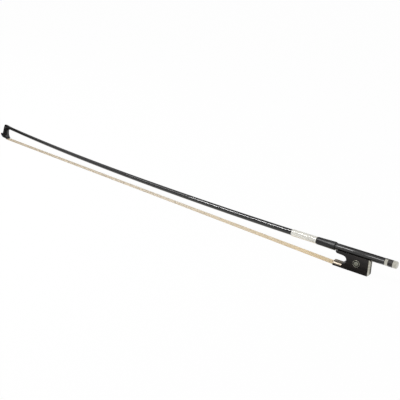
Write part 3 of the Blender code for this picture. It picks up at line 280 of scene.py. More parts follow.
def turned_rings(profile: Profile, count: int) -> np.ndarray:
    """Profile of radii and heights turned about the Z axis.

    Args:
        profile: radius and height of each ring.
        count: points round each ring.

    Returns:
        An array of rings, points and coordinates.
    """
    radii, heights = np.array(profile).T
    return tube_rings(heights[:, None] * UPRIGHT, ACROSS, ALONG, radii[:, None, None], count)


def rectangle(*bounds: tuple[float, float] | float) -> np.ndarray:
    """Four corners of an upright or level rectangle.

    Args:
        bounds: for x, y and z in turn, the two ends of a side or the one place of the flat.

    Returns:
        Its corners, one row each, which start along the first side.
    """
    low, high = np.array([np.broadcast_to(bound, 2) for bound in bounds]).T
    first, second = np.flatnonzero(low != high)
    corners = np.tile(low, (4, 1))
    corners[1:3, first] = high[first]
    corners[2:, second] = high[second]
    return corners


def eased_curve(points: np.ndarray, steps: int) -> np.ndarray:
    """Smooth curve through the points: a cubic of t for each span.

    At each point it runs in line with the point before and the point after.

    Args:
        points: control points, one row each.
        steps: steps to each span.

    Returns:
        The points of the curve, one row each.
    """
    padded = np.vstack([2 * points[0] - points[1], points, 2 * points[-1] - points[-2]])
    before, start, end, after = padded[:-3], padded[1:-2], padded[2:-1], padded[3:]
    t = (np.arange(steps) / steps)[None, :, None]
    curve = 0.5 * (2 * start[:, None] + (end - before)[:, None] * t
                   + (2 * before - 5 * start + 4 * end - after)[:, None] * t**2
                   + (3 * start - before - 3 * end + after)[:, None] * t**3)
    return np.vstack([curve.reshape(-1, points.shape[1]), points[-1:]])


def linear(colour: str) -> tuple[float, ...]:
    """Linear colour of an sRGB hex value such as #d8d6cf."""
    channels = [int(colour[place:place + 2], 16) / 255 for place in (1, 3, 5)]
    return (*(c / 12.92 if c <= 0.04045 else ((c + 0.055) / 1.055) ** 2.4 for c in channels), 1.0)


# Small tools for meshes


def shown(name: str, data: ID) -> Object:
    """Object in the scene that holds a mesh, a light or a camera.

    Args:
        name: name of the object.
        data: what it holds.

    Returns:
        The object.
    """
    piece = bpy.data.objects.new(name, data)
    bpy.context.scene.collection.objects.link(piece)
    return piece


def face_grid(rows: int, count: int, looped: bool = False) -> np.ndarray:
    """Corners of the faces between rings: each point, its next one, and both on the next ring.

    Args:
        rows: rings in all.
        count: points round each ring.
        looped: whether the last ring joins the first.

    Returns:
        Numbers of points, in an array of rows, faces and corners.
    """
    first = np.arange(rows if looped else rows - 1)[:, None] * count
    second = (first + count) % (rows * count)
    point = np.arange(count)
    following = (point + 1) % count
    return np.stack([first + point, first + following, second + following, second + point], -1)


def made_mesh(name: str, points: np.ndarray, faces: np.ndarray) -> Mesh:
    """Mesh of points and of faces with four corners.

    Args:
        name: name of the mesh.
        points: coordinates of the points.
        faces: numbers of the corners, one row to a face.

    Returns:
        The mesh.
    """
    mesh = bpy.data.meshes.new(name)
    mesh.vertices.add(points.size // 3)
    mesh.vertices.foreach_set("co", points.astype(np.float32).ravel())
    mesh.loops.add(faces.size)
    mesh.loops.foreach_set("vertex_index", faces.astype(np.int32).ravel())
    mesh.polygons.add(len(faces))
    mesh.polygons.foreach_set("loop_start", np.arange(0, faces.size, 4, dtype=np.int32))
    mesh.update(calc_edges=True)
    return mesh


def loft(name: str, rings: np.ndarray, looped: bool = False) -> Object:
    """Surface through rings of points, closed at both ends by strips of four-sided faces.

    The UV map holds real lengths in metres: along the rings' centres, and round each ring.

    Args:
        name: name of the piece.
        rings: array of rings, points and coordinates.
        looped: whether the last ring joins the first, as on a sleeve.

    Returns:
        The piece, with its faces outwards.
    """
    rows, count = rings.shape[:2]
    faces = face_grid(rows, count, looped)
    gaps = np.linalg.norm(np.diff(rings.mean(axis=1), axis=0), axis=1)
    along = np.concatenate([[0], np.cumsum(gaps)])
    sides = np.linalg.norm(np.roll(rings, -1, axis=1) - rings, axis=2).mean(axis=0)
    around = np.concatenate([[0], np.cumsum(sides)])
    u = np.stack([along, np.roll(along, -1)], -1)[:len(faces), [0, 0, 1, 1]]
    v = np.stack([around[:-1], around[1:]], -1)[:, [0, 1, 1, 0]]
    uv = np.stack(np.broadcast_arrays(u[:, None], v[None]), -1).reshape(-1, 4, 2)
    faces = faces.reshape(-1, 4)
    if not looped:
        pair = np.arange(count // 2 - 1)
        for start, order in ((0, -1), ((rows - 1) * count, 1)):
            strip = np.stack([start + pair, start + pair + 1, start + count - 2 - pair,
                              start + count - 1 - pair], -1)[:, ::order]
            faces = np.vstack([faces, strip])
            uv = np.vstack([uv, rings.reshape(-1, 3)[strip][:, :, :2]])
    mesh = made_mesh(name, rings, faces)
    mesh.uv_layers.new(name="lengths").data.foreach_set("uv", uv.astype(np.float32).ravel())
    mesh.validate()
    return facing_out(shown(name, mesh))


def facing_out(piece: Object) -> Object:
    """Turn the faces of a closed piece outwards.

    Args:
        piece: piece to mend.

    Returns:
        The same piece.
    """
    work = bmesh.new()
    work.from_mesh(piece.data)
    bmesh.ops.recalc_face_normals(work, faces=work.faces)
    work.to_mesh(piece.data)
    work.free()
    return piece


def carried_copy(node: str, name: str) -> Object:
    """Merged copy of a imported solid, with its flat faces made whole again.

    Args:
        node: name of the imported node.
        name: name of the new piece.

    Returns:
        The piece, which doesn't stand for the node yet.
    """
    work = bmesh.new()
    work.from_mesh(bpy.data.objects[node].data)
    bmesh.ops.remove_doubles(work, verts=work.verts, dist=MERGE_DISTANCE)
    bmesh.ops.dissolve_limit(work, angle_limit=FLAT_ANGLE, verts=work.verts, edges=work.edges)
    mesh = bpy.data.meshes.new(name)
    work.to_mesh(mesh)
    work.free()
    return shown(name, mesh)


def carved(piece: Object, cutter: Object) -> Object:
    """Cut one shape out of a piece for good, and remove the cutter.

    Args:
        piece: piece to cut.
        cutter: closed shape.

    Returns:
        The same piece.
    """
    modifier = piece.modifiers.new("pocket", "BOOLEAN")
    modifier.operation = "DIFFERENCE"
    modifier.solver = "EXACT"
    modifier.object = cutter
    graph = bpy.context.evaluated_depsgraph_get()
    cut = bpy.data.meshes.new_from_object(piece.evaluated_get(graph))
    piece.modifiers.clear()
    piece.data = cut
    bpy.data.objects.remove(cutter)
    return piece


def dress(piece: Object, finish: Finishes, body: Body, slot: str, *nodes: str, sharp: float,
          bevel: float = 0.0, flats: bool = False) -> None:
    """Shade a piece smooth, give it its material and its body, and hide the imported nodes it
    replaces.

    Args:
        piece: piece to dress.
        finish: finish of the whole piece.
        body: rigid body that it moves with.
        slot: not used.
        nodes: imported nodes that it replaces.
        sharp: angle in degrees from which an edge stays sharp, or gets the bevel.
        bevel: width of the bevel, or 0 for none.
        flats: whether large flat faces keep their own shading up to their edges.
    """
    piece.data.shade_smooth()
    if bevel > 0:
        modifier = piece.modifiers.new("edge", "BEVEL")
        modifier.width = bevel
        modifier.segments = 2
        modifier.limit_method = "ANGLE"
        modifier.angle_limit = math.radians(sharp)
        modifier.harden_normals = True
    else:
        piece.data.set_sharp_from_angle(angle=math.radians(sharp))
    if flats:
        piece.modifiers.new("flat_shading", "WEIGHTED_NORMAL").keep_sharp = True
    piece.data.materials.clear()
    piece.data.materials.append(finish.material)
    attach(piece, body.value)
    if nodes:
        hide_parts(*nodes)
    LOG.info("%s: %d faces on %s", piece.name, len(piece.data.polygons), body.value)


# Small tools for materials


def feed(tree: NodeTree, node: Node, sockets: dict) -> None:
    """Set or link the inputs of a node.

    Args:
        tree: node tree of the node.
        node: node to feed.
        sockets: input name or number to a value, an output socket, or a node's first output.
    """
    for key, value in sockets.items():
        value = value.outputs[0] if isinstance(value, Node) else value
        if isinstance(value, NodeSocket):
            tree.links.new(value, node.inputs[key])
        else:
            node.inputs[key].default_value = value


def add_node(tree: NodeTree, kind: str, sockets: dict | None = None,
             steps: Steps = (), **settings: object) -> Node:
    """Add a node with its settings, its socket values and links, and its colour steps.

    Args:
        tree: node tree to add to.
        kind: type name of the node, after ShaderNode.
        sockets: what feeds its inputs.
        steps: places from 0 to 1 with their sRGB hex colours, for a colour ramp.
        settings: properties of the node.

    Returns:
        The node.
    """
    node = tree.nodes.new("ShaderNode" + kind)
    for name, value in settings.items():
        setattr(node, name, value)
    feed(tree, node, sockets or {})
    for number, (place, colour) in enumerate(steps):
        elements = node.color_ramp.elements
        element = elements[number] if number < 2 else elements.new(place)
        element.position, element.color = place, linear(colour)
    return node


def surface_place(tree: NodeTree, scale: np.ndarray | Point, source: str = "Object",
                  turn: float = 0.0) -> Node:
    """Object or UV place of the surface, scaled and turned about Z.

    Args:
        tree: node tree to add to.
        scale: factors along the three axes, in patterns per metre.
        source: Object or UV.
        turn: angle in radians.

    Returns:
        The node whose first output is the place.
    """
    place = add_node(tree, "TexCoord").outputs[source]
    return add_node(tree, "Mapping", {"Vector": place, "Rotation": (0.0, 0.0, turn),
                                      "Scale": tuple(scale)})


def cloud(tree: NodeTree, scale: np.ndarray | Point, detail: float = 3.0,
          roughness: float = 0.5, source: str = "Object", turn: float = 0.0) -> Node:
    """Cloudy pattern from 0 to 1, drawn out along the axes with the smaller factors.

    Args:
        tree: node tree to add to.
        scale: factors along the three axes, in patterns per metre.
        detail: how many finer patterns are added.
        roughness: how strong the finer patterns are.
        source: Object or UV.
        turn: angle in radians.

    Returns:
        The node whose first output is the pattern.
    """
    return add_node(tree, "TexNoise", {
        "Vector": surface_place(tree, scale, source, turn), "Scale": 1.0, "Detail": detail,
        "Roughness": roughness})


# Finishes


@dataclass(frozen=True)
class Finish:
    """A named material: three patterns drive its colour, its roughness and its relief.

    The colour runs through steps of sRGB hex values, the roughness from one value to another, and
    the relief has a real depth, over edges that are softened by a small radius.  The skin is what
    else the shader holds, such as a coat.
    """

    name: str
    steps: Steps
    rough: tuple[float, float]
    depth_mm: float = 0.02
    strength: float = 0.4
    edge_mm: float = 0.0
    skin: Skin = ()

    def make(self) -> Material:
        """Build the material.

        Returns:
            The material.
        """
        material = bpy.data.materials.new(self.name)
        material.use_nodes = True
        tree = material.node_tree
        tone, gloss, height = self.patterns(tree)
        low, high = self.rough
        sockets = {
            "Base Color": self.colour(tree, add_node(tree, "ValToRGB", {"Fac": tone}, self.steps)),
            "Roughness": add_node(tree, "MapRange", {"Value": gloss, "To Min": low,
                                                     "To Max": high}), **dict(self.skin)}
        if self.depth_mm > 0:
            relief = {"Height": height, "Distance": self.depth_mm * MM, "Strength": self.strength}
            if self.edge_mm > 0:
                relief["Normal"] = add_node(tree, "Bevel", {"Radius": self.edge_mm * MM},
                                            samples=6)
            sockets["Normal"] = add_node(tree, "Bump", relief)
        feed(tree, tree.nodes["Principled BSDF"], sockets)
        return material

    def patterns(self, tree: NodeTree) -> tuple[Node, Node, Node]:
        """Patterns from 0 to 1 for the colour, the roughness and the relief.

        Args:
            tree: node tree of the material.

        Returns:
            Three nodes, whose first outputs they are.
        """
        raise NotImplementedError

    def colour(self, tree: NodeTree, toned: Node) -> Node | NodeSocket:
        """Colour of the surface, from that of the steps."""
        return toned


@dataclass(frozen=True)
class LacqueredCarbon(Finish):
    """Twill of carbon fibre under clear gloss lacquer, moulded under pressure and polished.

    The tows give faint diagonal diamonds below a mirror-like skin.  The fibres in them are drawn
    far coarser than real ones, so that they show.
    """

    tow_mm: float = 2.0
    fibre_mm: float = 0.14
    strand_tows: float = 6.0
    tow_contrast: float = 0.18
    haze_per_metre: Point = (260.0, 900.0, 900.0)
    lay: float = math.radians(45)

    def patterns(self, tree: NodeTree) -> tuple[Node, Node, Node]:
        """Chequer of tows with the fibres on it, those fibres alone, and a haze.

        Args:
            tree: node tree of the material.

        Returns:
            The three patterns.
        """
        tow = 1 / (self.tow_mm * MM)
        weave = surface_place(tree, (tow, tow, tow), "UV", self.lay)
        chequer = add_node(tree, "TexChecker", {"Vector": weave, "Scale": 1.0}).outputs["Fac"]
        fine, long = 1 / (self.fibre_mm * MM), tow / self.strand_tows
        strands = add_node(tree, "Mix", {
            "Factor": chequer, "A": cloud(tree, (fine, long, tow), source="UV", turn=self.lay),
            "B": cloud(tree, (long, fine, tow), source="UV", turn=self.lay)}, data_type="FLOAT")
        tows = add_node(tree, "MapRange", {
            "Value": chequer, "To Min": -self.tow_contrast, "To Max": self.tow_contrast})
        return (add_node(tree, "Math", {0: tows, 1: strands}, operation="ADD"), strands,
                cloud(tree, self.haze_per_metre, 5.0))


@dataclass(frozen=True)
class WornSilver(Finish):
    """Drawn and hand-polished silver, handled for years.

    It is bright and a little yellow, with fine scratches and duller spots.  A piece may also take
    painted shade, which darkens it from a height downwards.
    """

    depth_mm: float = 0.01
    strength: float = 0.35
    edge_mm: float = 0.12
    skin: Skin = (("Metallic", 1.0),)
    spot_mm: float = 2.0
    scratch_mm: float = 0.15
    scratch_width_share: float = 0.05
    painted_shade_colour: str = "#2a2119"
    painted_shade_top_mm: float = 0.0
    painted_shade_full_mm: float = 1.2
    painted_shade_share: float = 0.85

    def patterns(self, tree: NodeTree) -> tuple[Node, Node, Node]:
        """Cloudy spots for the colour and the gloss, and long scratches.

        Args:
            tree: node tree of the material.

        Returns:
            The three patterns.
        """
        spots = cloud(tree, EVEN_SCALE / (self.spot_mm * MM), 6.0)
        fine = 1 / (self.scratch_mm * MM)
        return spots, spots, cloud(tree, (self.scratch_width_share * fine, fine, fine), 4.0)

    def colour(self, tree: NodeTree, toned: Node) -> Node | NodeSocket:
        """Colour that tarnish darkens from a height downwards, where a piece has any.

        Args:
            tree: node tree of the material.
            toned: colour without the painted shade.

        Returns:
            The colour.
        """
        if self.painted_shade_top_mm <= 0:
            return toned
        place = add_node(tree, "SeparateXYZ", {0: surface_place(tree, EVEN_SCALE / MM)})
        # Painted shade: dark brown below a height, standing in for the dark reflection of the
        # shaded floor.
        painted_shade_mask = add_node(tree, "MapRange", {
            "Value": place.outputs["Z"], "From Min": self.painted_shade_top_mm,
            "From Max": self.painted_shade_full_mm, "To Min": 0.0, "To Max": self.painted_shade_share})
        return add_node(tree, "Mix", {0: painted_shade_mask, 6: toned, 7: linear(self.painted_shade_colour)},
                        data_type="RGBA").outputs[2]


@dataclass(frozen=True)
class PolishedEbony(Finish):
    """Ebony, filed and oiled: black-brown, with short open pores along the grain."""

    pore_mm: float = 0.18
    pore_width_share: float = 0.07
    grain_per_metre: Point = (40.0, 500.0, 500.0)

    def patterns(self, tree: NodeTree) -> tuple[Node, Node, Node]:
        """Long grain for the colour, and pores for the gloss and the relief.

        Args:
            tree: node tree of the material.

        Returns:
            The three patterns.
        """
        fine = 1 / (self.pore_mm * MM)
        pores = cloud(tree, (self.pore_width_share * fine, fine, fine), 2.0)
        return cloud(tree, self.grain_per_metre, 5.0), pores, pores


@dataclass(frozen=True)
class MotherOfPearl(Finish):
    """Shell, sawn and polished: slow waves of green and rose below a glossy skin."""

    strength: float = 0.15
    skin: Skin = (("Coat Weight", 0.6), ("Coat Roughness", 0.06))
    wave_mm: float = 2.4
    wave_width_share: float = 0.6

    def patterns(self, tree: NodeTree) -> tuple[Node, Node, Node]:
        """One swirl for all three."""
        wave = 1 / (self.wave_mm * MM)
        return (cloud(tree, (self.wave_width_share * wave, wave, wave), 7.0, 0.62),) * 3


@dataclass(frozen=True)
class Horsehair(Finish):
    """Unbleached horsehair with a satin skin: each hair has its own cream to straw shade.

    The ribbon is yellowed by rosin near the frog, and greyer towards the head.
    """

    wear: Steps = ()
    head_x: float = -0.35
    frog_x: float = 0.30
    streak_contrast: float = 0.15
    streaks_per_metre: Point = (30.0, 4000.0, 4000.0)

    def patterns(self, tree: NodeTree) -> tuple[Node, Node, Node]:
        """Shade of each hair, read from an attribute, with streaks along it.

        Args:
            tree: node tree of the material.

        Returns:
            The three patterns.
        """
        shade = add_node(tree, "Attribute", attribute_name="hair_shade").outputs["Fac"]
        streaks = cloud(tree, self.streaks_per_metre, 2.0)
        varied = add_node(tree, "MapRange", {
            "Value": streaks, "To Min": -self.streak_contrast, "To Max": self.streak_contrast})
        return add_node(tree, "Math", {0: shade, 1: varied}, operation="ADD"), streaks, streaks

    def colour(self, tree: NodeTree, toned: Node) -> Node | NodeSocket:
        """Colour of the hairs times the wear along the ribbon.

        Args:
            tree: node tree of the material.
            toned: colour of the hairs.

        Returns:
            The colour.
        """
        place = add_node(tree, "SeparateXYZ", {0: surface_place(tree, EVEN_SCALE)})
        share = add_node(tree, "MapRange", {
            "Value": place.outputs["X"], "From Min": self.head_x, "From Max": self.frog_x})
        wear = add_node(tree, "ValToRGB", {"Fac": share}, self.wear)
        return add_node(tree, "Mix", {0: 1.0, 6: toned, 7: wear}, data_type="RGBA",
                        blend_type="MULTIPLY").outputs[2]


@dataclass(frozen=True)
class EmbossedGrip(Finish):
    """Black synthetic leather, embossed with fine diagonal ribs and satin from use."""

    rib_mm: float = 1.1
    ribs_per_wave: float = 0.318
    lay: float = math.radians(38)
    grain_share: float = 0.5
    grain_per_metre: Point = (2600.0, 2600.0, 2600.0)

    def patterns(self, tree: NodeTree) -> tuple[Node, Node, Node]:
        """Ribs on the sleeve's own map with a fine grain on them, and that grain alone.

        Args:
            tree: node tree of the material.

        Returns:
            The three patterns.
        """
        ribs = add_node(tree, "TexWave", {
            "Vector": surface_place(tree, EVEN_SCALE / (self.rib_mm * MM), "UV", self.lay),
            "Scale": self.ribs_per_wave, "Distortion": 1.2, "Detail": 2.0}).outputs["Fac"]
        grain = cloud(tree, self.grain_per_metre, 4.0)
        fine = add_node(tree, "MapRange", {"Value": grain, "To Max": self.grain_share})
        height = add_node(tree, "Math", {0: ribs, 1: fine}, operation="ADD")
        return height, grain, height


class Marks(Enum):
    """How a plain part was worked, as the number of marks per metre along the three axes."""

    MOULDED = (1500.0, 1500.0, 1500.0)
    SAWN = (120.0, 2600.0, 2600.0)
    TURNED = (9000.0, 300.0, 300.0)


@dataclass(frozen=True)
class PlainStock(Finish):
    """A solid stock material with two tones, worked in one of the usual ways."""

    edge_mm: float = 0.10
    marks: Marks = Marks.MOULDED
    cloud_share: float = 0.4
    clouds_per_metre: Point = (220.0, 220.0, 220.0)

    def patterns(self, tree: NodeTree) -> tuple[Node, Node, Node]:
        """Marks of the tool with slow clouds, those clouds alone, and the marks alone.

        Args:
            tree: node tree of the material.

        Returns:
            The three patterns.
        """
        marks = cloud(tree, self.marks.value, 5.0)
        slow = cloud(tree, self.clouds_per_metre)
        tone = add_node(tree, "Mix", {"Factor": self.cloud_share, "A": marks, "B": slow},
                        data_type="FLOAT")
        return tone, slow, marks


@dataclass(frozen=True)
class StudioFelt(Finish):
    """Felt of a studio card, which gives back little light."""

    depth_mm: float = 0.0
    fuzz_per_metre: Point = (400.0, 400.0, 400.0)

    def patterns(self, tree: NodeTree) -> tuple[Node, Node, Node]:
        """Fuzz for the colour and for the little gloss there is."""
        return (cloud(tree, self.fuzz_per_metre),) * 3


class Finishes(Enum):
    """Every finish, whose material is made when the first piece takes it."""

    # Black under clear gloss, with a weave that shows only close by.
    CARBON = LacqueredCarbon(
        "lacquered_carbon_twill", ((0.25, "#0d0c0c"), (0.78, "#191817")), (0.26, 0.48), 0.02,
        0.25, skin=(("Specular IOR Level", 0.06), ("Coat Weight", 1.0), ("Coat Roughness", 0.05)))
    # Soft grey-white gleam, dulled by hands.
    SILVER = WornSilver("worn_polished_silver", ((0.32, "#9d9988"), (0.56, "#b6b4a8")),
                        (0.32, 0.16))
    # New wire from the die: much brighter than the rest, and finely pitted.
    WIRE = WornSilver("drawn_silver_wire", ((0.32, "#dedbd1"), (0.56, "#f4f3ee")), (0.14, 0.08),
                      edge_mm=0.0, spot_mm=0.7, scratch_mm=0.3)
    # Turned and buffed, so that each flat mirrors one thing.
    CAP = WornSilver("polished_button_silver", ((0.32, "#a5a296"), (0.56, "#bcbab0")),
                     (0.12, 0.06), edge_mm=0.0)
    # Greyer, with painted shade: the lower band turns dark brown, standing in for a dark
    # reflection.
    FERRULE = WornSilver("ferrule_silver_painted_shade", ((0.32, "#85796a"), (0.56, "#a99f91")),
                         # Painted shade from 4 mm downwards: a dark reflection painted into the
                         # colour.
                         (0.36, 0.24), painted_shade_top_mm=4.0)
    # Silver painted dark as shade in the narrow gap between frog and stick: a dull dark line.
    LINING_PAINTED_SHADE = WornSilver("lining_silver_painted_shade", ((0.32, "#2e2a26"), (0.56, "#4d4943")),
                        (0.55, 0.40))
    # Nearly black, with a satin gleam along its edges.
    EBONY = PolishedEbony("polished_ebony", ((0.42, "#191615"), (0.74, "#2b2421")), (0.24, 0.42),
                          0.03, 0.30, 0.30, (("Specular IOR Level", 0.35),))
    # Pale shell with soft colours that drift.
    PEARL = MotherOfPearl("mother_of_pearl", (
        (0.30, "#cfd9cd"), (0.44, "#eceae2"), (0.55, "#e6d5d3"), (0.68, "#d2dcd8")), (0.10, 0.26))
    # The same, cut from a darker shell with closer waves.
    SHELL = MotherOfPearl("dark_shell", (
        (0.30, "#585c4f"), (0.44, "#8b8d7d"), (0.55, "#77736a"), (0.68, "#5d6762")), (0.10, 0.26),
        wave_mm=1.2)
    # Separate cream strands.
    HAIR = Horsehair("cream_horsehair", ((0.05, "#ccb799"), (0.38, "#f0e3cc"), (0.80, "#fff9ee")),
                     (0.34, 0.52), 0.01, 0.2,
                     wear=((0.0, "#d6d0c6"), (0.55, "#fdfaf5"), (0.95, "#fdefd2")))
    # Soft black, with ribs that catch the light.
    GRIP = EmbossedGrip("embossed_black_leather", ((0.20, "#0c0c0c"), (0.95, "#1b1b1b")),
                        (0.22, 0.40), 0.04, skin=(("Specular IOR Level", 0.35),))
    # Black with an even satin from the mould.
    PLATE = PlainStock("moulded_black_plastic", ((0.32, "#0d0d0e"), (0.68, "#1a1a1b")),
                       (0.22, 0.36))
    # Flat brown-black, like pressed paper.
    FIBRE = PlainStock("vulcanised_fibre", ((0.32, "#151312"), (0.68, "#24201e")), (0.55, 0.75),
                       marks=Marks.SAWN)
    # Pale wood with the saw's lines.
    MAPLE = PlainStock("raw_maple", ((0.32, "#b98a58"), (0.68, "#dab98a")), (0.55, 0.72), 0.05,
                       marks=Marks.SAWN)
    # Brown thread, wound tight, whose turns show as ridges.
    THREAD = PlainStock("waxed_linen_thread", ((0.32, "#8a6a45"), (0.68, "#b99a70")), (0.5, 0.7),
                        0.08, marks=Marks.TURNED)
    # Yellow, with the rings of the lathe.
    BRASS = PlainStock("turned_brass", ((0.32, "#b08b45"), (0.68, "#d3b36a")), (0.24, 0.40),
                       skin=(("Metallic", 1.0),), marks=Marks.TURNED)
    # Grey, with the same rings.
    STEEL = PlainStock("turned_steel", ((0.32, "#8f9092"), (0.68, "#c2c3c4")), (0.24, 0.42),
                       skin=(("Metallic", 1.0),), marks=Marks.TURNED)
    # Dark brown cards swallow the light; those on the floor are painted shadow, standing in for
    # the bow's shade there.
    FELT = StudioFelt("studio_felt", ((0.4, "#15110d"), (0.6, "#1e1813")), (0.9, 1.0))
    # One card is grey: painted shadow behind the heel, for a softer glint.
    GREY_SHADOW_FELT = StudioFelt("studio_felt", ((0.4, "#8c8c8c"), (0.6, "#989898")), (0.9, 1.0))

    @cached_property
    def material(self) -> Material:
        """Material of the finish, made once."""
        return self.value.make()


# Sub-assemblies


@dataclass
class Stick:
    """The carbon stick: nipple, octagonal handle, cambered shaft and the head with its plates.

    The head's outlines are lists of places behind the nose with heights, first above the upper
    or the lower side of the shaft and then above the seat.
    """

    points: int = 72
    shaft_spacing: float = 0.004
    button_length: float = 0.0155
    gap: float = 0.0003
    seat_gap: float = 0.0002
    bevel: float = 0.0005
    handle_start: float = 0.0040
    nipple_diameter: float = 0.0054
    nipple_length: float = 0.0022
    bore_radius: float = 0.00175
    pivot_radius: float = 0.0013
    shoulder_station: float = 0.0816
    bearing_station: float = 0.0879
    slot_station: float = 0.0570
    slot_length: float = 0.0200
    slot_half_width: float = 0.0025
    slot_top: float = 0.0027
    plate_length: float = 0.0202
    plate_half_width: float = 0.0044
    plate_base: float = 0.0020
    plate_thickness: float = 0.0009
    plate_front_power: float = 0.55
    plate_back_taper: float = 0.14
    liner_thickness: float = 0.0005
    liner_setback: float = 0.0007
    beak_length: float = 0.0165
    beak_rise: float = 0.0039
    neck_half_width: float = 0.0026
    flare_height: float = 0.0045
    round_share: float = 0.55
    beak_share: float = 5 / 21
    ridge_by_shaft: Profile = ((0.0220, 0.0009), (0.0150, 0.0018), (0.0106, 0.0004),
                               (0.0082, -0.0042))
    ridge_by_seat: Profile = ((0.0060, 0.0085), (0.0043, 0.0045))
    throat_by_shaft: Profile = ((0.0258, 0.0003), (0.0224, -0.0005), (0.0198, -0.0028),
                                (0.0187, -0.0072))
    throat_by_seat: Profile = ((0.0186, 0.0046), (0.0190, 0.0016))
    curve_steps: int = 10
    mortise_start: float = 0.0084
    mortise_length: float = 0.0082
    mortise_half_width: float = 0.0034
    mortise_inner_half_width: float = 0.0024
    mortise_depth: float = 0.0050
    cut_reach: float = 0.0010
    trim_depth: float = 0.0060

    @property
    def stack(self) -> float:
        """Height of the head's seat above the plate's under side."""
        return self.plate_thickness + self.liner_thickness + 2 * self.seat_gap

    @property
    def seat(self) -> float:
        """Height of the head's flat seat."""
        return self.plate_base + self.stack

    def underside(self, back: np.ndarray | float) -> np.ndarray:
        """Height of the plate's under side: flat, with a beak that rises as a square."""
        beak = np.maximum(0.0, 1.0 - back / self.beak_length)
        return self.plate_base + self.beak_rise * beak**2

    def outline_width(self, share: np.ndarray) -> np.ndarray:
        """Half-width as a share: a power up to the middle, then a slow parabola inwards.

        Args:
            share: places along the plate, from 0 at the nose to 1.

        Returns:
            The half-widths as shares of the widest.
        """
        front = (np.clip(share, 0, 0.5) / 0.5) ** self.plate_front_power
        back = 1.0 - self.plate_back_taper * ((share - 0.5) / 0.5) ** 2
        return np.where(share < 0.5, front, back)

    def outline(self, side: float, by_shaft: Profile, by_seat: Profile,
                last: tuple[float, float]) -> np.ndarray:
        """Curve of the head's ridge or throat, from the shaft to the seat.

        Args:
            side: 1 for the shaft's upper side and -1 for its lower one.
            by_shaft: points whose heights are above that side.
            by_seat: points whose heights are above the seat.
            last: last point of the curve.

        Returns:
            Rows of places behind the nose and heights, without the shaft's own.
        """
        axis, _ = LINE.axis(np.array([LINE.nose_x + LINE.head_length]))
        level = axis[0] + side * 0.5 * LINE.shaft_at_head
        return eased_curve(np.array([
            (LINE.head_length, level), *((back, level + rise) for back, rise in by_shaft),
            *((back, self.seat + rise) for back, rise in by_seat), last]), self.curve_steps)[1:]

    def head_rings(self) -> np.ndarray:
        """Rings of the head, each between a point of its ridge and a point of its throat.

        The section goes from a circle to the plate's outline, the cheeks flare towards the plate
        by an exponential of the height, and the last rings settle into the curve of the beak.

        Returns:
            An array of rings, points and coordinates.
        """
        front = 2 * self.liner_setback
        outer = self.outline(1, self.ridge_by_shaft, self.ridge_by_seat,
                             (front, self.underside(front) + self.stack))
        inner = self.outline(-1, self.throat_by_shaft, self.throat_by_seat,
                             (self.plate_length - self.liner_setback, self.seat))
        step = np.arange(1, len(outer) + 1) / len(outer)
        turn = np.minimum(1.0, step / self.round_share)[:, None]
        settle = np.maximum(0.0, 1.0 - (1.0 - step) / self.beak_share)[:, None]
        middle = 0.5 * (outer[:, 1] + inner[:, 1])
        flare = np.exp(-np.maximum(0.0, middle - self.seat) / self.flare_height)
        half = self.neck_half_width + (self.plate_half_width - self.neck_half_width) * flare
        half = half + (0.5 * LINE.shaft_at_head - self.neck_half_width) * (1 - turn[:, 0])
        half[-1] = self.plate_half_width
        angle = ring_angles(self.points)[None, :]
        share = 0.5 * (1 - np.cos(angle))
        back = outer[:, None, 0] + (inner - outer)[:, None, 0] * share
        rise = outer[:, None, 1] + (inner - outer)[:, None, 1] * share
        shaped = np.copysign(self.outline_width(share), np.sin(angle))
        across = half[:, None] * ((1 - turn) * np.sin(angle) + turn * shaped)
        sag = self.underside(back) - self.plate_base
        chord = (self.underside(outer[:, :1]) - self.plate_base) * (1 - share)
        return np.stack([LINE.nose_x + back, across, rise + settle * (sag - chord)], axis=-1)

    def bore_rings(self) -> np.ndarray:
        """Rings of the stepped bore for the screw, from its deep end out to the handle's end.

        Returns:
            An array of rings, points and coordinates.
        """
        mouth = self.button_length + self.gap - self.nipple_length
        stations = np.array([self.bearing_station, self.shoulder_station, self.shoulder_station,
                             mouth])
        radii = np.repeat([self.pivot_radius, self.bore_radius], 2)[:, None, None]
        local = tube_rings(-stations[:, None] * ALONG, UPRIGHT, ACROSS, radii, self.points)
        return placed(local, LINE.handle_frame())

    def handle_rings(self) -> np.ndarray:
        """Rings of the nipple and of the bevelled end of the octagonal handle.

        Returns:
            An array of rings, points and coordinates.
        """
        start = self.button_length + self.gap
        stations = np.array([start - self.nipple_length, start, start, start + self.bevel])
        flats = np.array([self.nipple_diameter, self.nipple_diameter,
                          LINE.handle_flats - 2 * self.bevel, LINE.handle_flats])
        roundness = np.repeat([1.0, LINE.handle_softness], 2)
        return LINE.rings(LINE.button_x - stations, flats, roundness, self.points)

    def slot(self) -> Object:
        """Cutter for the slot in the handle that the eyelet slides in.

        Returns:
            The cutter.
        """
        ends = (-self.slot_station - 0.5 * self.slot_length,
                -self.slot_station + 0.5 * self.slot_length)
        sides = (-self.slot_half_width, self.slot_half_width)
        rings = [rectangle(ends, sides, height) for height in (-LINE.handle_flats, self.slot_top)]
        return loft("slot", placed(np.stack(rings), LINE.handle_frame()))

    def mortise(self) -> Object:
        """Cutter for the tapered mortise of the head, from below the plate to its ceiling.

        Returns:
            The cutter.
        """
        start = LINE.nose_x + self.mortise_start
        levels = ((self.mortise_half_width, -self.cut_reach),
                  (self.mortise_half_width, self.seat),
                  (self.mortise_inner_half_width, self.seat + self.mortise_depth))
        return loft("mortise", np.stack([
            rectangle((start, start + self.mortise_length), (-half, half), height)
            for half, height in levels]))

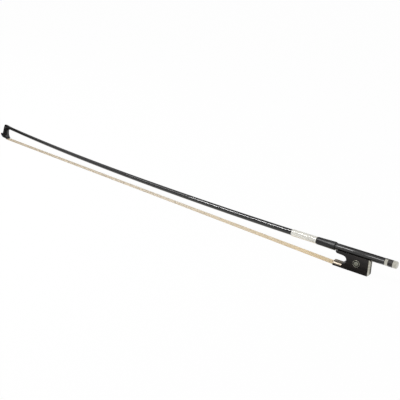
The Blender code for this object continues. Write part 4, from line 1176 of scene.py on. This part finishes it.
    def layer(self, name: str, low: float, high: float, setback: float = 0.0) -> Object:
        """Thin layer under the head that follows the beak, with the outline of the plate.

        Args:
            name: name of the piece.
            low: height of its under side above the plate's.
            high: height of its upper side above the plate's under side.
            setback: how far its outline starts behind the nose.

        Returns:
            The piece.
        """
        angle = ring_angles(2 * self.points)
        share = 0.5 * (1 - np.cos(angle))
        back = setback + (self.plate_length - setback - setback) * share
        across = np.copysign(self.plate_half_width * self.outline_width(share), np.sin(angle))
        return loft(name, np.stack([
            np.stack([LINE.nose_x + back, across, self.underside(back) + rise], -1)
            for rise in (low, high)]))

    def build(self) -> None:
        """Build the stick, its plates and what locks the hair in the head."""
        shaft_end = LINE.bow_length - LINE.head_length
        handle = np.linspace(self.button_length + self.handle_start, LINE.handle_length, 8)
        shaft = np.linspace(LINE.handle_length, shaft_end,
                            round((shaft_end - LINE.handle_length) / self.shaft_spacing))
        stations = np.concatenate([handle[:-1], shaft])
        stick = loft("carbon_stick", np.concatenate([
            self.bore_rings(), self.handle_rings(),
            LINE.grown_rings(stations, 0.0, self.points), self.head_rings()]))
        dress(carved(carved(stick, self.slot()), self.mortise()), Finishes.CARBON, Body.STICK,
              "carbon", "stick", sharp=24)
        plate = carved(self.layer("beaked_tip_plate", 0.0, self.plate_thickness), self.mortise())
        dress(plate, Finishes.PLATE, Body.STICK, "black_plate", "tip_plate", sharp=40,
              bevel=0.12 * MM)
        low = self.plate_thickness + self.seat_gap
        liner = carved(self.layer("tip_plate_liner", low, low + self.liner_thickness,
                                  self.liner_setback), self.mortise())
        dress(liner, Finishes.FIBRE, Body.STICK, "fibre", "tip_liner", sharp=40)
        plug = carved(carried_copy("tip_hair_plug", "head_plug"),
                      self.layer("plug_trim", -self.trim_depth, 0.0))
        dress(plug, Finishes.MAPLE, Body.STICK, "maple", "tip_hair_plug", sharp=30, bevel=0.1 * MM)
        dress(carried_copy("tip_hair_knot", "head_hair_knot"), Finishes.THREAD, Body.STICK,
              "knot", "tip_hair_knot", sharp=60)


@dataclass
class Winding:
    """Silver wire wound tight round the shaft, turn against turn."""

    start: float = 0.1102
    length: float = 0.0378
    wire: float = 0.0004
    lift: float = 0.0002
    steps: int = 40
    sides: int = 8

    def build(self) -> None:
        """Build the wire: a helix round the tapering shaft, with a round section along it."""
        turns = (self.length - self.wire) / self.wire
        count = round(turns * self.steps)
        angle = np.linspace(0, turns * FULL_TURN, count)
        station = self.start + 0.5 * self.wire + np.linspace(0, self.length - self.wire, count)
        flats, _ = LINE.section(station)
        height, slope = LINE.axis(LINE.button_x - station)
        tilt = np.arctan(slope)
        zero = np.zeros(count)
        up = np.stack([-np.sin(tilt), zero, np.cos(tilt)], -1)
        along = np.stack([np.cos(tilt), zero, np.sin(tilt)], -1)
        outward = up * np.cos(angle)[:, None] + ACROSS * np.sin(angle)[:, None]
        axis = np.stack([LINE.button_x - station, zero, height], -1)
        centre = axis + outward * (0.5 * flats + self.lift + 0.5 * self.wire)[:, None]
        wire = loft("silver_wire_winding",
                    tube_rings(centre, along, outward, 0.5 * self.wire, self.sides))
        dress(wire, Finishes.WIRE, Body.STICK, "silver", "silver_winding", sharp=80)


@dataclass
class ThumbGrip:
    """The black sleeve in front of the frog, with rolled ends."""

    start: float = 0.0832
    length: float = 0.0265
    thickness: float = 0.0007
    lift: float = 0.0002
    rounding: float = 0.0004
    points: int = 72
    steps: int = 24

    def build(self) -> None:
        """Build the sleeve: the stick's rings grown outwards, with quarter circles at its ends."""
        quarter = np.linspace(0, QUARTER_TURN, CORNER_POINTS)
        end = self.start + self.length
        run = self.rounding * (1 - np.cos(quarter))
        drop = self.rounding * (1 - np.sin(quarter))
        middle = np.linspace(self.start + self.rounding, end - self.rounding, self.steps)[1:-1]
        full = self.lift + self.thickness
        outer_stations = np.concatenate([self.start + run, middle, (end - run)[::-1]])
        offsets = np.concatenate([full - drop, np.full(len(middle), full), (full - drop)[::-1]])
        inner_stations = np.linspace(self.start, end, self.steps)[::-1]
        sleeve = loft("thumb_leather", np.concatenate([
            LINE.grown_rings(outer_stations, offsets, self.points),
            LINE.grown_rings(inner_stations, self.lift, self.points)]), looped=True)
        dress(sleeve, Finishes.GRIP, Body.STICK, "grip", "thumb_grip", sharp=35)


@dataclass
class Frog:
    """The ebony frog with its ferrule, slide, heel plates, eyes and hidden fittings."""

    mouth_station: float = 0.0815
    tilt: float = math.radians(2.2)
    ferrule_length: float = 0.0120
    ferrule_width: float = 0.0126
    ferrule_height: float = 0.0060
    ferrule_side_share: float = 0.3
    ferrule_wall: float = 0.0005
    ferrule_corner: float = 0.0005
    ferrule_lip: float = 0.00015
    eye_station: float = 0.0499
    eye_height: float = 0.0117
    eye_diameter: float = 0.0096
    eye_ring_width: float = 0.0008
    eye_edge: float = 0.00012
    eye_depth: float = 0.0009
    pearl_diameter: float = 0.0058
    half_width_at_base: float = 0.0061
    half_width_at_top: float = 0.0050
    top_below_axis: float = 0.0030
    heel_station: float = 0.0327
    heel_drawn_back: float = 0.0005
    edge_raised: float = 0.0004
    saddle_depth: float = 0.0023
    saddle_half_width: float = 0.0022
    side_slope: float = 0.05
    edge_margin: float = 0.0001
    flank_margin: float = 0.0003
    flat_margin: float = 0.0005
    heel_plate_thickness: float = 0.0007
    heel_plate_below_top: float = 0.0003
    heel_facet_width: float = 0.0036
    heel_facet_depth: float = 0.0006
    corner_heights: tuple[float, float] = (-0.0020, 0.0300)
    seat_gap: float = 0.0002
    pin_radius: float = 0.00055
    pin_points: int = 24
    pin_heights: tuple[float, float] = (0.0035, 0.0150)
    cut_reach: float = 0.0040

    @property
    def mouth_x(self) -> float:
        """Place of the ferrule's mouth along X."""
        return LINE.button_x - self.mouth_station

    @property
    def heel_x(self) -> float:
        """Place of the heel along X."""
        return LINE.button_x - self.heel_station

    def frame(self) -> np.ndarray:
        """Frame of the frog, turned about the lower edge of its mouth."""
        return (translation(self.mouth_x, 0, 0) @ turn_about_y(-self.tilt)
                @ translation(-self.mouth_x, 0, 0))

    def top(self, x: np.ndarray | float) -> np.ndarray | float:
        """Height of the frog's edge along the stick, above its base.

        Args:
            x: places along X in the frog's own frame.

        Returns:
            The heights there.
        """
        slope = math.tan(LINE.handle_tilt)
        height = LINE.handle_front_height + slope * (self.mouth_x - LINE.handle_front_x)
        axis = (height * math.cos(self.tilt) + math.tan(LINE.handle_tilt - self.tilt)
                * (x - self.mouth_x - height * math.sin(self.tilt)))
        return axis - self.top_below_axis

    def half_width(self, height: float) -> float:
        """Half-width of the frog at a height: its sides lean in towards the stick."""
        lean = (self.half_width_at_top - self.half_width_at_base) / self.top(self.heel_x)
        return self.half_width_at_base + lean * height

    def eye_frame(self, side: int) -> np.ndarray:
        """Frame of an eye, whose Z axis points out of the frog's leaning side.

        Args:
            side: -1 for the left eye and 1 for the right one.

        Returns:
            The frame.
        """
        lean = math.atan2(self.half_width_at_base - self.half_width_at_top,
                          self.top(self.heel_x))
        outward = np.array([0.0, side * math.cos(lean), math.sin(lean)])
        turn = np.eye(4)
        turn[:3, :3] = np.stack([ALONG, np.cross(outward, ALONG), outward], -1)
        place = translation(LINE.button_x - self.eye_station,
                            side * self.half_width(self.eye_height), self.eye_height)
        return self.frame() @ place @ turn

    def ferrule_ring(self, offset: float, x: float) -> np.ndarray:
        """One ring of the ferrule: a flat below, low sides and half an ellipse above.

        Args:
            offset: how far the ring is shrunk from the outside.
            x: place of the ring along X.

        Returns:
            The ring's points.
        """
        half = 0.5 * self.ferrule_width - offset
        height = self.ferrule_height - 2 * offset
        side = offset + self.ferrule_side_share * height
        angle = np.linspace(HALF_TURN, 0, CURVE_POINTS)
        arch = np.stack([half * np.cos(angle),
                         side + (1 - self.ferrule_side_share) * height * np.sin(angle)], -1)
        bend = np.linspace(0, QUARTER_TURN, CORNER_POINTS)
        left = np.stack([-half + self.ferrule_corner * (1 - np.cos(bend)),
                         offset + self.ferrule_corner * (1 - np.sin(bend))], -1)
        section = np.concatenate([left[::-1], arch, left * (-1, 1)])
        return np.concatenate([np.full((len(section), 1), x), section], axis=1)

    def build_ferrule(self) -> None:
        """Build the ferrule as a bent and soldered tube with a rolled front edge."""
        start, end = self.mouth_x, self.mouth_x + self.ferrule_length
        wall, lip = self.ferrule_wall, self.ferrule_lip
        rings = np.stack([self.ferrule_ring(offset, x) for offset, x in (
            (lip, start), (0.0, start + lip), (0.0, end - lip), (lip, end), (wall, end),
            (wall, start))])
        ferrule = loft("silver_ferrule", placed(rings, self.frame()), looped=True)
        dress(ferrule, Finishes.FERRULE, Body.FROG, "silver", "ferrule", sharp=40)

    def build_eyes(self) -> None:
        """Build the silver ring and the pearl dot of each eye, both a little domed."""
        outer = 0.5 * self.eye_diameter
        inner = outer - self.eye_ring_width
        pearl = 0.5 * self.pearl_diameter
        low, soft = -self.eye_depth, self.eye_edge
        ring = ((outer, low), (outer, -soft), (outer - soft, 0.0), (inner + soft, 0.0),
                (inner, -soft), (inner, low))
        dot = ((pearl, low), (pearl, -soft), (pearl - soft, 0.0), (0.55 * pearl, 0.5 * soft),
               (0.05 * pearl, 0.6 * soft))
        for side, word in ((-1, "left"), (1, "right")):
            for name, node, profile, finish, slot in (
                    ("eye_circle_", "eye_ring_", ring, Finishes.SILVER, "silver"),
                    ("eye_dot_", "eye_pearl_", dot, Finishes.SHELL, "pearl")):
                rings = placed(turned_rings(profile, CURVE_POINTS), self.eye_frame(side))
                dress(loft(name + word, rings, looped=profile is ring), finish, Body.FROG, slot,
                      node + word, sharp=60)

    def build_pins(self) -> None:
        """Build the round heads of the pins that hold the heel plate, low and high on it."""
        radius = self.pin_radius
        dome = ((radius, -0.3 * MM), (radius, 0.02 * MM), (0.7 * radius, 0.10 * MM),
                (0.3 * radius, 0.13 * MM), (0.03 * radius, 0.14 * MM))
        for height, word in zip(self.pin_heights, ("low", "high")):
            frame = (self.frame() @ translation(self.heel_x, 0.0, height)
                     @ turn_about_y(QUARTER_TURN))
            dress(loft(f"heel_pin_{word}", placed(turned_rings(dome, self.pin_points), frame)),
                  Finishes.SILVER, Body.FROG, "silver", sharp=60)

    def fit_round_stick(self, piece: Object, heel: bool) -> None:
        """Raise a piece's two edges along the stick, and draw its heel back to the plate.

        A point of an edge rises; it moves out along the saddle's slope when it is an inner one,
        and in along the frog's side when it is an outer one.

        Args:
            piece: the frog's body or its lining.
            heel: whether its heel is drawn back too.
        """
        vertices = piece.data.vertices
        places = np.empty(3 * len(vertices))
        vertices.foreach_get("co", places)
        places = placed(places.reshape(-1, 3), np.linalg.inv(self.frame()))
        x, y, z = places.T
        edge = ((z > self.top(x) - self.edge_margin)
                & (np.abs(y) > self.saddle_half_width + self.flat_margin))
        inner = np.abs(y) < self.half_width_at_top - self.flank_margin
        slope = np.where(inner, 1.0, -self.side_slope)
        lift = self.edge_raised * edge
        back = self.heel_drawn_back * (x > self.heel_x - self.cut_reach) * heel
        places = np.stack([x + back, y + np.sign(y) * slope * lift, z + lift], -1)
        vertices.foreach_set("co", placed(places, self.frame()).ravel())
        piece.data.update()

    def saddle_notch(self) -> Object:
        """Cutter with the handle's three lower flats, for the upper edge of the heel plate.

        Returns:
            The cutter.
        """
        reach = self.cut_reach
        floor = self.top(self.heel_x) - self.saddle_depth
        low, high = self.saddle_half_width, self.saddle_half_width + reach
        rings = [[(x, -low, floor), (x, low, floor), (x, high, floor + reach),
                  (x, -high, floor + reach)]
                 for x in (self.heel_x - reach, self.heel_x + reach)]
        return loft("saddle_notch", placed(np.array(rings), self.frame()))

    def heel_corner(self, side: int) -> Object:
        """Cutter that takes an upright corner off the heel, parallel to the plate's side facet.

        Args:
            side: -1 for the left corner and 1 for the right one.

        Returns:
            The cutter, with four sides, which leans in with the frog's side.
        """
        beside, behind = 0.25 * self.cut_reach, self.cut_reach
        seat = self.heel_x - self.heel_plate_thickness - self.seat_gap
        run = self.heel_facet_depth * (1 + beside / self.heel_facet_width)
        rings = []
        for height in self.corner_heights:
            inner = side * (self.half_width(height) - self.heel_facet_width)
            outer = side * (self.half_width(height) + beside)
            rings.append([(seat, inner, height), (seat - run, outer, height),
                          (seat + behind, outer, height), (seat + behind, inner, height)])
        return loft("heel_corner", placed(np.array(rings), self.frame()))

    def build_heel_plate(self) -> None:
        """Build the heel plate, bent over the three facets of the heel."""
        top = self.top(self.heel_x) + self.edge_raised - self.heel_plate_below_top
        front = self.heel_x - self.heel_plate_thickness
        depth = self.heel_facet_depth
        rings = []
        for height in (0.0, top):
            half = self.half_width(height)
            flat = half - self.heel_facet_width
            outline = [(-depth, -half), (0.0, -flat), (0.0, flat), (-depth, half)]
            rings.append([(start + x, y, height) for start, row in (
                (self.heel_x, outline), (front, outline[::-1])) for x, y in row])
        plate = loft("heel_back_plate", placed(np.array(rings), self.frame()))
        dress(carved(plate, self.saddle_notch()), Finishes.SILVER, Body.FROG, "silver",
              "heel_plate", sharp=12, bevel=0.08 * MM)

    def build(self) -> None:
        """Build the frog and everything that is fixed to it."""
        soft = 0.08 * MM
        for node, name, finish, slot, bevel in (
                ("frog_body", "ebony_frog", Finishes.EBONY, "ebony", 0.0),
                ("slide_base", "slide_underlay", Finishes.EBONY, "ebony", 0.0),
                ("pearl_slide", "pearl_strip", Finishes.PEARL, "pearl", soft),
                ("heel_base_plate", "heel_under_plate", Finishes.SILVER, "silver", soft),
                ("frog_underslide", "silver_lining", Finishes.LINING_PAINTED_SHADE, "silver", 0.0),
                ("eyelet", "brass_eyelet", Finishes.BRASS, "brass", 0.0),
                ("ferrule_wedge", "spreading_wedge", Finishes.MAPLE, "maple", soft),
                ("frog_hair_plug", "frog_plug", Finishes.MAPLE, "maple", soft),
                ("frog_hair_knot", "frog_hair_tie", Finishes.THREAD, "knot", 0.0)):
            piece = carried_copy(node, name)
            heel = node in ("frog_body", "slide_base", "heel_base_plate")
            if heel or node == "frog_underslide":
                self.fit_round_stick(piece, heel)
            for side in (-1, 1) if heel else ():
                carved(piece, self.heel_corner(side))
            dress(piece, finish, Body.FROG, slot, node, sharp=32, bevel=bevel, flats=bevel == 0)
        self.build_heel_plate()
        self.build_ferrule()
        self.build_eyes()
        self.build_pins()


@dataclass
class Button:
    """The turning button and the screw inside the handle."""

    sharp_angle: float = 32.0

    def build(self) -> None:
        """Build the screw and the three parts of its button."""
        for node, name, finish, slot in (
                ("button_front_ring", "button_collar", Finishes.CAP, "silver"),
                ("button_core", "button_ebony", Finishes.EBONY, "ebony"),
                ("button_end_cap", "button_cap", Finishes.CAP, "silver"),
                ("adjusting_screw", "steel_screw", Finishes.STEEL, "steel")):
            dress(carried_copy(node, name), finish, Body.SCREW, slot, node,
                  sharp=self.sharp_angle)


@dataclass
class HairRibbon:
    """The flat ribbon of horsehair: separate hairs in layers, locked in the head and the frog.

    Its bend off a mortise's wall is a list of distances from the wall with rises above its level.
    """

    columns: int = 62
    layers: int = 3
    layer_shift: float = 0.33
    hair: float = 0.00019
    thickness: float = 0.0006
    width_at_frog: float = 0.0106
    width_at_tip: float = 0.0080
    width_in_ferrule: float = 0.0080
    width_in_frog: float = 0.0070
    width_in_head: float = 0.0064
    width_in_knot: float = 0.0044
    waist: float = 0.12
    height_at_frog: float = 0.00115
    height_at_tip: float = 0.0007
    channel_height: float = 0.0020
    bend: Profile = ((0.0, 0.0014), (0.0001, 0.0004), (0.0008, 0.0))
    off_wall: float = 0.0006
    below_ceiling: float = 0.0018
    free_from: float = 0.0208
    frog_mortise_station: float = 0.0535
    frog_mortise_half: float = 0.0050
    frog_knot_height: float = 0.0070
    straight_steps: int = 40
    bend_steps: int = 5
    side_jitter: float = 0.006
    shade_from: float = 0.25
    shade_lost_at_head: float = 0.22
    wander: float = 0.00007
    seed: int = 11

    def path(self) -> np.ndarray:
        """Way of the ribbon from the head to the frog.

        Its ends are eased curves round the bends, and its free part is straight, with a width
        that narrows by a sine towards the middle.

        Returns:
            Rows of X, Z and width.
        """
        head, frog = Stick(), Frog()
        rise = LINE.nose_x + head.mortise_start + head.mortise_length - self.off_wall
        low = self.height_at_tip
        start = np.array([(LINE.nose_x + self.free_from, low, self.width_at_tip)])
        tip = eased_curve(np.array([
            (rise, head.seat + head.mortise_depth - self.below_ceiling, self.width_in_knot),
            (rise, head.seat, self.width_in_head),
            *((rise + away, low + up, self.width_in_head) for away, up in self.bend),
            start[0]]), self.bend_steps)
        level = self.channel_height
        wall = (LINE.button_x - self.frog_mortise_station - self.frog_mortise_half
                + self.off_wall)
        local = np.array([
            (frog.mouth_x + frog.ferrule_length, level, self.width_in_ferrule),
            *((wall - away, level + up, self.width_in_frog) for away, up in self.bend[::-1]),
            (wall, self.frog_knot_height, self.width_in_frog)])
        turned = placed(local * (1, 0, 0) + local[:, 1:2] * UPRIGHT, frog.frame())
        back = eased_curve(np.stack([turned[:, 0], turned[:, 2], local[:, 2]], -1),
                           self.bend_steps)
        end = np.array([(frog.mouth_x + self.off_wall, self.height_at_frog,
                         self.width_at_frog)])
        inside = end + (back[:1] - end) * np.linspace(0, 1, self.bend_steps + 1)[:-1, None]
        step = np.linspace(0, 1, self.straight_steps)[1:-1, None]
        free = start + (end - start) * step
        free[:, 2] *= 1 - self.waist * np.sin(HALF_TURN * step[:, 0])
        return np.concatenate([tip, free, inside, back])

    def build(self) -> None:
        """Build the hairs, which follow the ribbon's path side by side and in layers.

        Each wanders from its place across by a slow sine that dies out at both ends.
        """
        way = self.path()
        zero = np.zeros(len(way))
        centre = np.stack([way[:, 0], zero, way[:, 1]], -1)
        tangent = np.gradient(centre, axis=0)
        tangent /= np.linalg.norm(tangent, axis=1)[:, None]
        normal = np.stack([-tangent[:, 2], zero, tangent[:, 0]], -1)
        random = np.random.default_rng(self.seed)
        total, last = self.columns * self.layers, self.layers - 1
        column = np.tile(np.arange(self.columns), self.layers)
        layer = np.repeat(np.arange(self.layers), self.columns)
        side = ((column + 0.5 + self.layer_shift * layer)
                / (self.columns + self.layer_shift * last))
        side = 2 * side - 1 + random.uniform(-self.side_jitter, self.side_jitter, total)
        depth = (layer - 0.5 * last) * (self.thickness - self.hair) / last
        run = np.linspace(0, 1, len(way))
        calm = np.sin(HALF_TURN * run) ** 0.5
        waves = random.uniform(1.0, 4.0, total)[:, None] * FULL_TURN * run[None, :]
        drift = np.sin(waves + random.uniform(0, FULL_TURN, total)[:, None]) * calm
        usable = 0.5 * (way[:, 2] - self.hair)
        place = side[:, None] * usable + self.wander * drift * (1 - np.abs(side[:, None]))
        line = (centre[None] + place[:, :, None] * ACROSS
                + depth[:, None, None] * normal[None])
        rings = tube_rings(line, ACROSS, normal, 0.5 * self.hair, 4)
        self.skin(rings, random.uniform(0, 1, total), run)

    def skin(self, rings: np.ndarray, shade: np.ndarray, run: np.ndarray) -> None:
        """Skin the rings of all the hairs at once, and store the shade of each hair.

        Args:
            rings: array of hairs, steps, points and coordinates.
            shade: shade of each hair, from 0 to 1.
            run: place of each step along the ribbon, from 0 to 1.
        """
        hairs, steps, sides = rings.shape[:3]
        start = np.arange(hairs)[:, None] * steps * sides
        tubes = start[:, None] + face_grid(steps, sides).reshape(-1, sides)
        caps = start + np.arange(sides)
        faces = np.concatenate([tubes.reshape(-1, sides), caps[:, ::-1],
                                caps + (steps - 1) * sides])
        mesh = made_mesh("horsehair_ribbon", rings, faces)
        own = self.shade_from + (1 - self.shade_from) * shade
        tone = own[:, None] - self.shade_lost_at_head * (1 - run)[None, :]
        attribute = mesh.attributes.new("hair_shade", "FLOAT", "POINT")
        attribute.data.foreach_set("value", np.repeat(tone, sides, axis=1).astype(np.float32)
                                   .ravel())
        ribbon = facing_out(shown("horsehair_ribbon", mesh))
        ribbon.data.shade_smooth()
        ribbon.data.materials.append(Finishes.HAIR.material)
        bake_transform(ribbon)
        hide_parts("hair_ribbon")
        LOG.info("%s: %d faces between stick and frog", ribbon.name, len(faces))


# Floor, light and camera


@dataclass
class Studio:
    """A plain white sweep, long strip lights above and a camera at the photograph's angle.

    The strips are what the lacquer and the flats mirror: each is a name, two ends along X, a
    brightness where 1 is white, and how far in front of the bow it hangs.
    """

    floor_half: float = 12.0
    floor_thickness: float = 0.02
    floor_white_share: float = 0.975
    sky: float = 0.50
    strip_height: float = 1.0
    strip_width: float = 0.10
    strips: tuple[tuple[str, float, float, float, float], ...] = (
        ("fading_strip", -0.98, -0.725, 12.0, 0.56), ("main_strip", -0.725, -0.31, 75.0, 0.56),
        ("grip_strip", -0.23, -0.175, 14.0, 0.56), ("handle_strip", -0.14, -0.045, 9.0, 0.63))
    lens: float = 66.158
    sensor: float = 36.0
    camera_mm: Point = (263.289, -803.937, 419.215)
    yaw: float = math.radians(-35.14)
    pitch: float = math.radians(-22.22)
    roll: float = math.radians(5.324)
    lean: float = 0.55 / 640.0
    pivot_mm: Point = (372.5, 0.0, 1.15 + 81.0 * lean)
    card_height: float = 0.0004

    def camera_matrix(self) -> Matrix:
        """Matrix of the camera from its yaw, pitch and roll, leaned about a pivot on the floor.

        Returns:
            The matrix.
        """
        forward = np.array([math.sin(self.yaw) * math.cos(self.pitch),
                            math.cos(self.yaw) * math.cos(self.pitch), math.sin(self.pitch)])
        right = np.array([math.cos(self.yaw), -math.sin(self.yaw), 0.0])
        up = np.cross(right, forward)
        side = right * math.cos(self.roll) + up * math.sin(self.roll)
        top = -right * math.sin(self.roll) + up * math.cos(self.roll)
        made = np.eye(4)
        made[:3] = np.stack([side, top, -forward, np.array(self.camera_mm)], -1)
        made = translation(*self.pivot_mm) @ turn_about_y(-self.lean) @ made
        made[:3, 3] *= MM
        return Matrix(made.tolist())

    def add_camera(self) -> None:
        """Add the camera and make it the scene's."""
        data = bpy.data.cameras.new("camera")
        data.lens, data.sensor_width = self.lens, self.sensor
        data.clip_start, data.clip_end = 0.01, 100.0
        camera = shown("camera", data)
        camera.matrix_world = self.camera_matrix()
        bpy.context.scene.camera = camera

    def add_strips(self) -> None:
        """Add the long narrow lights over the bow, in line with it and turned towards it."""
        for name, start, end, strength, in_front in self.strips:
            data = bpy.data.lights.new(name, "AREA")
            data.shape = "RECTANGLE"
            data.size, data.size_y = end - start, self.strip_width
            data.energy = strength * math.pi * data.size * data.size_y
            lamp = shown(name, data)
            lamp.location = (0.5 * (start + end), -in_front, self.strip_height)
            lamp.rotation_euler = (math.atan2(in_front, self.strip_height), 0.0, 0.0)

    def add_cards(self) -> None:
        """Add the cards that only show in reflections: flags as a photographer sets them up, and
        sheets on the floor that paint the bow's shadow into its reflections.
        """
        brown, low = Finishes.FELT, self.card_height
        heel = np.array([(0.330, 0.003, low), (0.340, 0.003, low), (0.3755, 0.06, low),
                         (0.330, 0.06, low)])
        back, down = 0.01 * ACROSS, -0.0003 * UPRIGHT
        for name, corners, thickness, felt in (
                ("card_behind_shaft", rectangle((-2.0, -0.20), 0.70, (0.02, 1.0)), back, brown),
                ("card_behind_handle", rectangle((-0.06, 0.088), 0.70, (0.02, 1.0)), back, brown),
                ("camera_side_card", rectangle((-1.8, -0.08), -0.85, (0.26, 0.52)), -back, brown),
                ("card_beside_head", rectangle(-0.55, (-0.30, 0.05), (0.0, 0.26)),
                 -0.01 * ALONG, brown),
                # Painted shadow: the sheets below the head and the frog stand in for the bow's
                # shade on the floor, seen only in reflections.
                ("painted_shadow_below_head", rectangle((-0.480, -0.330), (-0.060, -0.004), low), down,
                 brown),
                ("painted_shadow_below_frog", rectangle((0.272, 0.342), (-0.046, -0.004), low), down, brown),
                # Painted shadow: the grey sheet behind the heel stands in for the frog's shade on
                # the floor, seen only in reflections.
                ("grey_painted_shadow_behind_heel", heel, down, Finishes.GREY_SHADOW_FELT)):
            card = loft(name, np.stack([corners, corners + thickness]))
            card.data.materials.append(felt.material)
            card.visible_camera = card.visible_diffuse = False
            card.visible_shadow = card.visible_transmission = False

    def seen_share(self, tree: NodeTree, low: float, high: float) -> Node:
        """Share that is high where a camera, glossy or transmitted ray looks, and low elsewhere.

        Args:
            tree: node tree to add to.
            low: share for the other rays.
            high: share for those three kinds.

        Returns:
            The node whose first output is the share.
        """
        path = add_node(tree, "LightPath").outputs
        seen = path["Is Camera Ray"]
        for ray in ("Is Glossy Ray", "Is Transmission Ray"):
            seen = add_node(tree, "Math", {0: seen, 1: path[ray]}, operation="MAXIMUM")
        return add_node(tree, "MapRange", {"Value": seen, "To Min": low, "To Max": high})

    def add_floor(self) -> None:
        """Add the white floor, which a camera sees as nearly white with a faint shadow."""
        sides = (-self.floor_half, self.floor_half)
        floor = loft("floor", np.stack([rectangle(sides, sides, height)
                                        for height in (-self.floor_thickness, 0.0)]))
        material = bpy.data.materials.new("white_paper_sweep")
        material.use_nodes = True
        tree = material.node_tree
        tree.nodes.clear()
        mix = add_node(tree, "MixShader", {
            0: self.seen_share(tree, 0.0, self.floor_white_share),
            1: add_node(tree, "BsdfDiffuse", {"Color": linear("#f4f4f4")}),
            2: add_node(tree, "Emission", {"Color": linear("#ffffff"), "Strength": 1.0})})
        add_node(tree, "OutputMaterial", {"Surface": mix})
        floor.data.materials.append(material)

    def add_world(self) -> None:
        """Add the plain surround: white to the camera, softer as a source of light."""
        world = bpy.data.worlds.new("surround")
        world.use_nodes = True
        tree = world.node_tree
        tree.nodes.clear()
        sky = add_node(tree, "Background", {
            "Color": linear("#ffffff"), "Strength": self.seen_share(tree, self.sky, 1.0)})
        add_node(tree, "OutputWorld", {"Surface": sky})
        bpy.context.scene.world = world

    def build(self) -> None:
        """Build the camera, the floor, the lights and the cards."""
        self.add_camera()
        self.add_floor()
        self.add_world()
        self.add_strips()
        self.add_cards()
        bpy.context.scene.view_settings.view_transform = "Standard"


def corners(box: tuple) -> list[list[float]]:
    """Two corners as plain lists of numbers."""
    return [[float(value) for value in corner] for corner in box]


def main() -> None:
    """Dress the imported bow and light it."""
    logging.basicConfig(level=logging.INFO, format="%(name)s %(message)s")
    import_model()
    for part in (Stick(), Winding(), ThumbGrip(), Frog(), Button(), HairRibbon(), Studio()):
        part.build()


if __name__ == "__main__":
    main()
